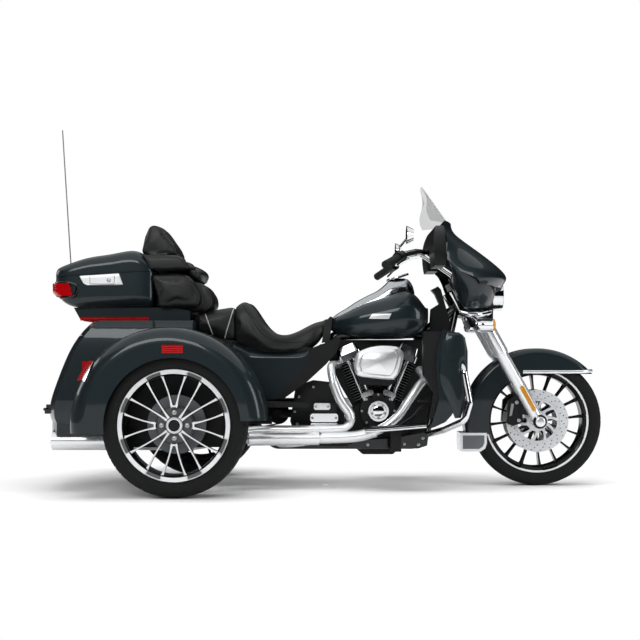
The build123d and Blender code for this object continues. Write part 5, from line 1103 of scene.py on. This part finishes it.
# %% [markdown]
# Each tail lamp wraps round the corner of the rear body. Its side lens has a slanted chrome edge in
# front, and both are drawn on the body's surface as the stripe on the tank was.

# %% Tail lamp sides
# columns: name, top line, bottom line, how proud it stands, finish, slot
for name, top, bottom, lift, finish, slot in (
        ("sides", [(-1.112, 0.602), (-1.04, 0.601)], [(-1.112, 0.53), (-1.062, 0.524)], 0.01, red_lens, "lens_red"),
        ("edges", [(-1.042, 0.603), (-1.016, 0.601)], [(-1.064, 0.524), (-1.046, 0.516)], 0.012, polished, "chrome")):
    add_piece(f"tail_lamp_{name}", patches(nodes["rear_body"], top, bottom, lift), "chassis", finish, crisp=40)

# %% [markdown]
# Light piping runs over the seats where panels of vinyl are sewn together, and a plain seam follows
# the edge of each pad. A bead is thicker than the thread: it hides the cut edges.

# %% Piping and seams
piping = coated("silver grey piping", "#8E9092", "#A4A6A8", 0.4, 0.5, 2, 0.05)
piping_lines = (((-0.574, 0.826), (-0.56, 0.79), (-0.542, 0.74), (-0.54, 0.728)),
    ((-0.44, 0.85), (-0.455, 0.8), (-0.47, 0.75), (-0.482, 0.712)))
piping_parts = [part for line in piping_lines for part in beads(pads["pillion_seat"], line, 0.0028)]
add_piece("seat_piping", piping_parts, "chassis", piping)
stitch = coated("black seat thread", "#050505", "#0B0B0B", 0.6, 0.7, 2, 0.05)
rider_line = ((-0.395, 0.87), (-0.35, 0.8), (-0.3, 0.735), (-0.24, 0.7), (-0.15, 0.69), (-0.05, 0.715), (0.01, 0.77))
add_piece("seat_seams", beads(pads["rider_seat"], rider_line, 0.0013), "chassis", stitch)
pad_line = ((-0.8, 1.0), (-0.7, 1.004), (-0.655, 0.995), (-0.625, 0.97), (-0.595, 0.925), (-0.592, 0.885),
    (-0.61, 0.868), (-0.77, 0.862))
add_piece("pad_seams", beads(pads["case_pads"], pad_line, 0.0014), "chassis", stitch)
print("seats sewn")

# %% [markdown]
# A leg shield's outer face is crowned, so that light runs down it in one soft band. The crown is a
# grid between the shield's front and rear edges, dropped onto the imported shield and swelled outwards:
# the swelling is zero at the edges and twelve millimetres in the middle.

# %% Crowned leg shields
SHIELD_CROWN = 0.012
CROWN_ROWS, CROWN_COLUMNS = 30, 20
rear_edge = smooth_path([(0.56, 0.738), (0.538, 0.69), (0.524, 0.605), (0.522, 0.537), (0.534, 0.48), (0.57, 0.402),
    (0.594, 0.34)], CROWN_ROWS)
front_edge = smooth_path([(0.612, 0.736), (0.636, 0.715), (0.648, 0.66), (0.648, 0.56), (0.645, 0.47), (0.636, 0.4),
    (0.622, 0.342)], CROWN_ROWS)
u = np.linspace(0, 1, CROWN_COLUMNS)[None, :, None]
v = np.linspace(0, 1, CROWN_ROWS)[:, None, None]
shield_flat = rear_edge[:, None] * (1 - u) + front_edge[:, None] * u
swell = SHIELD_CROWN * (1 - (2 * u - 1) ** 2) * (1 - (2 * v - 1) ** 6) + 0.0006
crowns = []
for side in (-1, 1):
    flat = dropped(nodes["leg_shields"], shield_flat.reshape(-1, 2), side).reshape(CROWN_ROWS, CROWN_COLUMNS, 3)
    crowns.append(between(flat + swell * [0, side, 0], flat - [0, side * 0.002, 0]))
shields = add_piece("leg_shield_crowns", crowns, "chassis", paint)

# %% [markdown]
# Panel gaps on the leg shields mark the lockers' doors. Behind each rear wheel a flat black sheet stands for
# the wheel well's deep shade: painted shade that keeps the wheel's bright spokes clear of the paint.

# %% Leg shield seams and painted wheel-well shade
door_line = ((0.552, 0.742), (0.551, 0.69), (0.551, 0.64), (0.556, 0.613), (0.572, 0.606), (0.646, 0.605))
add_piece("leg_shield_seams", beads(shields, door_line, 0.0013), "chassis", seam_black)
# painted shade: a flat black sheet behind each rear wheel stands for the shade inside the wheel well
WELL_SHADE_RADIUS = 0.292
turn = np.radians(np.linspace(-22, 202, 40))
well_shade = np.stack([np.cos(turn), np.sin(turn)], -1) * WELL_SHADE_RADIUS + np.array(REAR_WHEELS[0][2])[[0, 2]]
add_piece("wheel_well_shades", [both_sides(prism(well_shade, -0.414, -0.402))], "chassis", moulded_black,
    smooth=False)

# %% [markdown]
# The screen is one sheet of polycarbonate bent round a cone, so it is drawn as a surface: across it
# the sheet curves back, and towards its top it narrows and leans back.

# %% Windshield
u = np.linspace(-1, 1, 61)[None, :]
v = np.linspace(0, 1, 31)[:, None]
across_screen = u * 0.233 * (1 - 0.55 * v ** 2)
up_screen = 1.264 + v * 0.187 * (1 - 0.33 * np.abs(u) ** 3)
back_screen = 0.594 - 0.7095 * (up_screen - 1.273) - 1.95 * across_screen ** 2
screen_face = np.stack([back_screen, across_screen, up_screen], -1)
screen = between(screen_face, screen_face - [0.003, 0, 0.0008])
add_piece("windshield_sheet", [screen], "front_end", screen_sheet, crisp=50, replaces=("windshield",))

# %% [markdown]
# The seat rests on a black moulded pan, and black covers fill the corner between the seat, the side
# panel and the rear cylinder. A padded roll on the lid meets a second one below it.

# %% Seat pan, covers and centre pad
pan = [(-0.62, 0.7), (-0.54, 0.712), (-0.44, 0.702), (-0.4, 0.686), (-0.06, 0.668), (-0.03, 0.66), (-0.055, 0.61),
    (-0.1, 0.598), (-0.42, 0.598), (-0.62, 0.63)]
tongue = [(-0.006, 0.786), (0.021, 0.818), (0.0325, 0.814), (0.03, 0.79), (0.024, 0.74), (0.02, 0.7), (-0.02, 0.69)]
# columns: x, y and z of the side panel's top edge, then of the seat's lower edge
shoulder = np.array([(-0.445, -0.149, 0.666, -0.445, -0.124, 0.7), (-0.4, -0.149, 0.641, -0.4, -0.124, 0.682),
    (-0.355, -0.149, 0.616, -0.35, -0.124, 0.66), (-0.25, -0.149, 0.614, -0.25, -0.124, 0.652),
    (-0.15, -0.149, 0.614, -0.15, -0.124, 0.651), (-0.11, -0.149, 0.62, -0.11, -0.124, 0.654),
    (-0.082, -0.149, 0.638, -0.078, -0.124, 0.664)])
low_edge, high_edge = smooth_path(shoulder[:, :3], 40), smooth_path(shoulder[:, 3:], 40)
share = np.linspace(0, 1, 8)[:, None, None]
roll = low_edge[None] * (1 - share) + high_edge[None] * share + [0, -0.006, 0] * np.sin(np.pi * share)
add_piece("seat_shoulders", [both_sides(between(roll, roll + [0, 0.004, -0.002]))], "chassis", paint)
add_piece("seat_tongue", [prism(tongue, -0.075, 0.075)], "chassis", leather, smooth=False)
side_cover = [(0.071, 0.713), (0.05, 0.716), (0.004, 0.692), (-0.06, 0.668), (-0.078, 0.64), (-0.085, 0.61),
    (-0.24, 0.425), (-0.205, 0.42), (-0.089, 0.504), (0.0, 0.586), (0.052, 0.645)]
engine_back = [(0.021, 0.7), (0.04, 0.7055), (0.484, 0.7055), (0.556, 0.656), (0.56, 0.33), (0.484, 0.256),
    (0.362, 0.236), (0.226, 0.265), (0.128, 0.387), (0.07, 0.485), (0.021, 0.597), (0.001, 0.65)]
add_piece("seat_pan", [prism(pan, -0.128, 0.128)], "chassis", moulded_black, smooth=False)
add_piece("side_covers", [both_sides(prism(side_cover, -0.149, -0.138))], "chassis", satin_black,
    smooth=False)
add_piece("engine_back", [prism(engine_back, -0.02, 0.02)], "chassis", moulded_black, smooth=False)


def cushion(centre, half, tilt, power=0.7):
    """A superellipsoid: |x/a|^(2/p) + |y/b|^(2/p) + |z/c|^(2/p) = 1, tilted nose down about Y."""
    up = np.linspace(-np.pi / 2, np.pi / 2, 25)[1:-1, None]
    around = np.linspace(0, 2 * np.pi, 48, endpoint=False)[None]
    bend = lambda value: np.sign(value) * np.abs(value) ** power
    shape = np.stack(np.broadcast_arrays(half[0] * bend(np.cos(up)) * bend(np.cos(around)),
        half[1] * bend(np.cos(up)) * bend(np.sin(around)), half[2] * bend(np.sin(up))), -1)
    lean = math.radians(tilt)
    x = shape[..., 0] * math.cos(lean) + shape[..., 2] * math.sin(lean)
    z = shape[..., 2] * math.cos(lean) - shape[..., 0] * math.sin(lean)
    return skin(np.stack([x, shape[..., 1], z], -1) + np.asarray(centre))


upper_roll = add_piece("centre_pad_roll", [cushion((-0.628, 0.0, 1.02), (0.052, 0.172, 0.036), 24)], "lid_body",
    leather)
print("screen, pan and covers made")

# %% [markdown]
# The stage is white paper that runs back without an edge. Close to the machine it takes the shadow;
# further out it fades into paper that is simply white, so no horizon shows. Polished metal mirrors
# the room, and a room that is white all round would make it look like plaster. So a ring of black
# cloth hangs round the stage where only reflections can see it, as a photographer hangs black flags.

# %% Stage
FLOOR_RADIUS = 12.0
FADE_FROM, FADE_TO = 1.9, 3.4
CLOTH_RADIUS, CLOTH_LOW, CLOTH_HIGH = 8.5, 0.12, 6.8


def stage_sheet(name, profile, steps, finish):
    """A sheet for the stage alone: rings about Z, one for each (height, radius)."""
    angle = np.linspace(0, 2 * np.pi, steps, endpoint=False)
    rings = [np.stack([radius * np.cos(angle), radius * np.sin(angle), np.full(steps, height)], -1)
        for height, radius in profile]
    points, faces = skin(rings, capped=False)
    mesh = bpy.data.meshes.new(name)
    mesh.from_pydata(points.tolist(), [], faces)
    mesh.materials.append(finish)
    sheet = bpy.data.objects.new(name, mesh)
    bpy.context.scene.collection.objects.link(sheet)
    return sheet

floor_finish = bpy.data.materials.new("white paper floor")
floor_finish.use_nodes = True
tree = floor_finish.node_tree
tree.nodes.clear()
place = add_node(tree, "ShaderNodeTexCoord")
reach = add_node(tree, "ShaderNodeVectorMath", {"operation": "LENGTH"}, n0=(place, "Object"))
fade = add_node(tree, "ShaderNodeMapRange", {"interpolation_type": "SMOOTHSTEP"}, Value=(reach, "Value"),
    From_Min=FADE_FROM, From_Max=FADE_TO)
paper = add_node(tree, "ShaderNodeBsdfDiffuse", Color=linear("#F4F4F4"))
plain_white = add_node(tree, "ShaderNodeEmission", Color=linear("#FFFFFF"), Strength=1.0)
blend = add_node(tree, "ShaderNodeMixShader", Fac=(fade, "Result"), n1=(paper, 0), n2=(plain_white, 0))
add_node(tree, "ShaderNodeOutputMaterial", Surface=(blend, 0))
stage_sheet("studio_floor", [(0.0, FLOOR_RADIUS * share) for share in (1.0, 0.4, 0.2, 0.1, 0.001)], 64, floor_finish)

cloth_finish = new_material("black stage cloth", Base_Color=linear("#0A0A0B"), Roughness=1.0,
    Specular_IOR_Level=0.0)[0]
cloth = stage_sheet("black_cloth", [(CLOTH_LOW, CLOTH_RADIUS), (CLOTH_HIGH, CLOTH_RADIUS)], 48, cloth_finish)
cloth.visible_camera = cloth.visible_diffuse = cloth.visible_transmission = cloth.visible_shadow = False

# %% World and lights
world = bpy.data.worlds.new("studio_surround")
world.use_nodes = True
bpy.context.scene.world = world
tree = world.node_tree
tree.nodes.clear()
ray = add_node(tree, "ShaderNodeLightPath")
seen = add_node(tree, "ShaderNodeMath", {"operation": "MAXIMUM"}, n0=(ray, "Is Camera Ray"), n1=(ray, "Is Glossy Ray"))
seen = add_node(tree, "ShaderNodeMath", {"operation": "MAXIMUM"}, n0=(seen, 0), n1=(ray, "Is Transmission Ray"))
soft = add_node(tree, "ShaderNodeBackground", Color=linear("#BCBCBE"), Strength=0.7)
white = add_node(tree, "ShaderNodeBackground", Color=linear("#FFFFFF"), Strength=1.0)
mixed = add_node(tree, "ShaderNodeMixShader", Fac=(seen, 0), n1=(soft, 0), n2=(white, 0))
add_node(tree, "ShaderNodeOutputWorld", Surface=(mixed, 0))


def softbox(name, place, aim, size, power, glossy):
    """A rectangular area light at place, turned to face aim; glossy says whether polished metal mirrors it."""
    data = bpy.data.lights.new(name, "AREA")
    data.shape = "RECTANGLE"
    data.size, data.size_y = size
    data.energy = power
    light = bpy.data.objects.new(name, data)
    light.location = place
    light.rotation_euler = (Vector(aim) - Vector(place)).to_track_quat("-Z", "Y").to_euler()
    light.visible_glossy = glossy
    bpy.context.scene.collection.objects.link(light)


# columns: name, place, aim, size, power, seen in reflections
for row in (
        ("overhead_softbox", (0.2, -0.6, 4.2), (0, 0, 0.6), (5.0, 2.2), 150, False),
        ("right_softbox", (-1.6, -5.2, 2.9), (0, 0, 0.7), (3.2, 1.6), 110, True),
        ("front_softbox", (4.6, -2.6, 1.8), (0.6, 0, 0.7), (1.6, 2.6), 70, True),
        ("left_softbox", (0.0, 4.8, 3.0), (0, 0, 0.7), (4.0, 1.6), 110, False),
        ("rear_softbox", (-5.0, 0.5, 2.4), (-0.8, 0, 0.7), (2.0, 2.0), 60, True)):
    softbox(*row)
bpy.context.scene.view_settings.view_transform = "Standard"
print("lights", len(bpy.data.lights))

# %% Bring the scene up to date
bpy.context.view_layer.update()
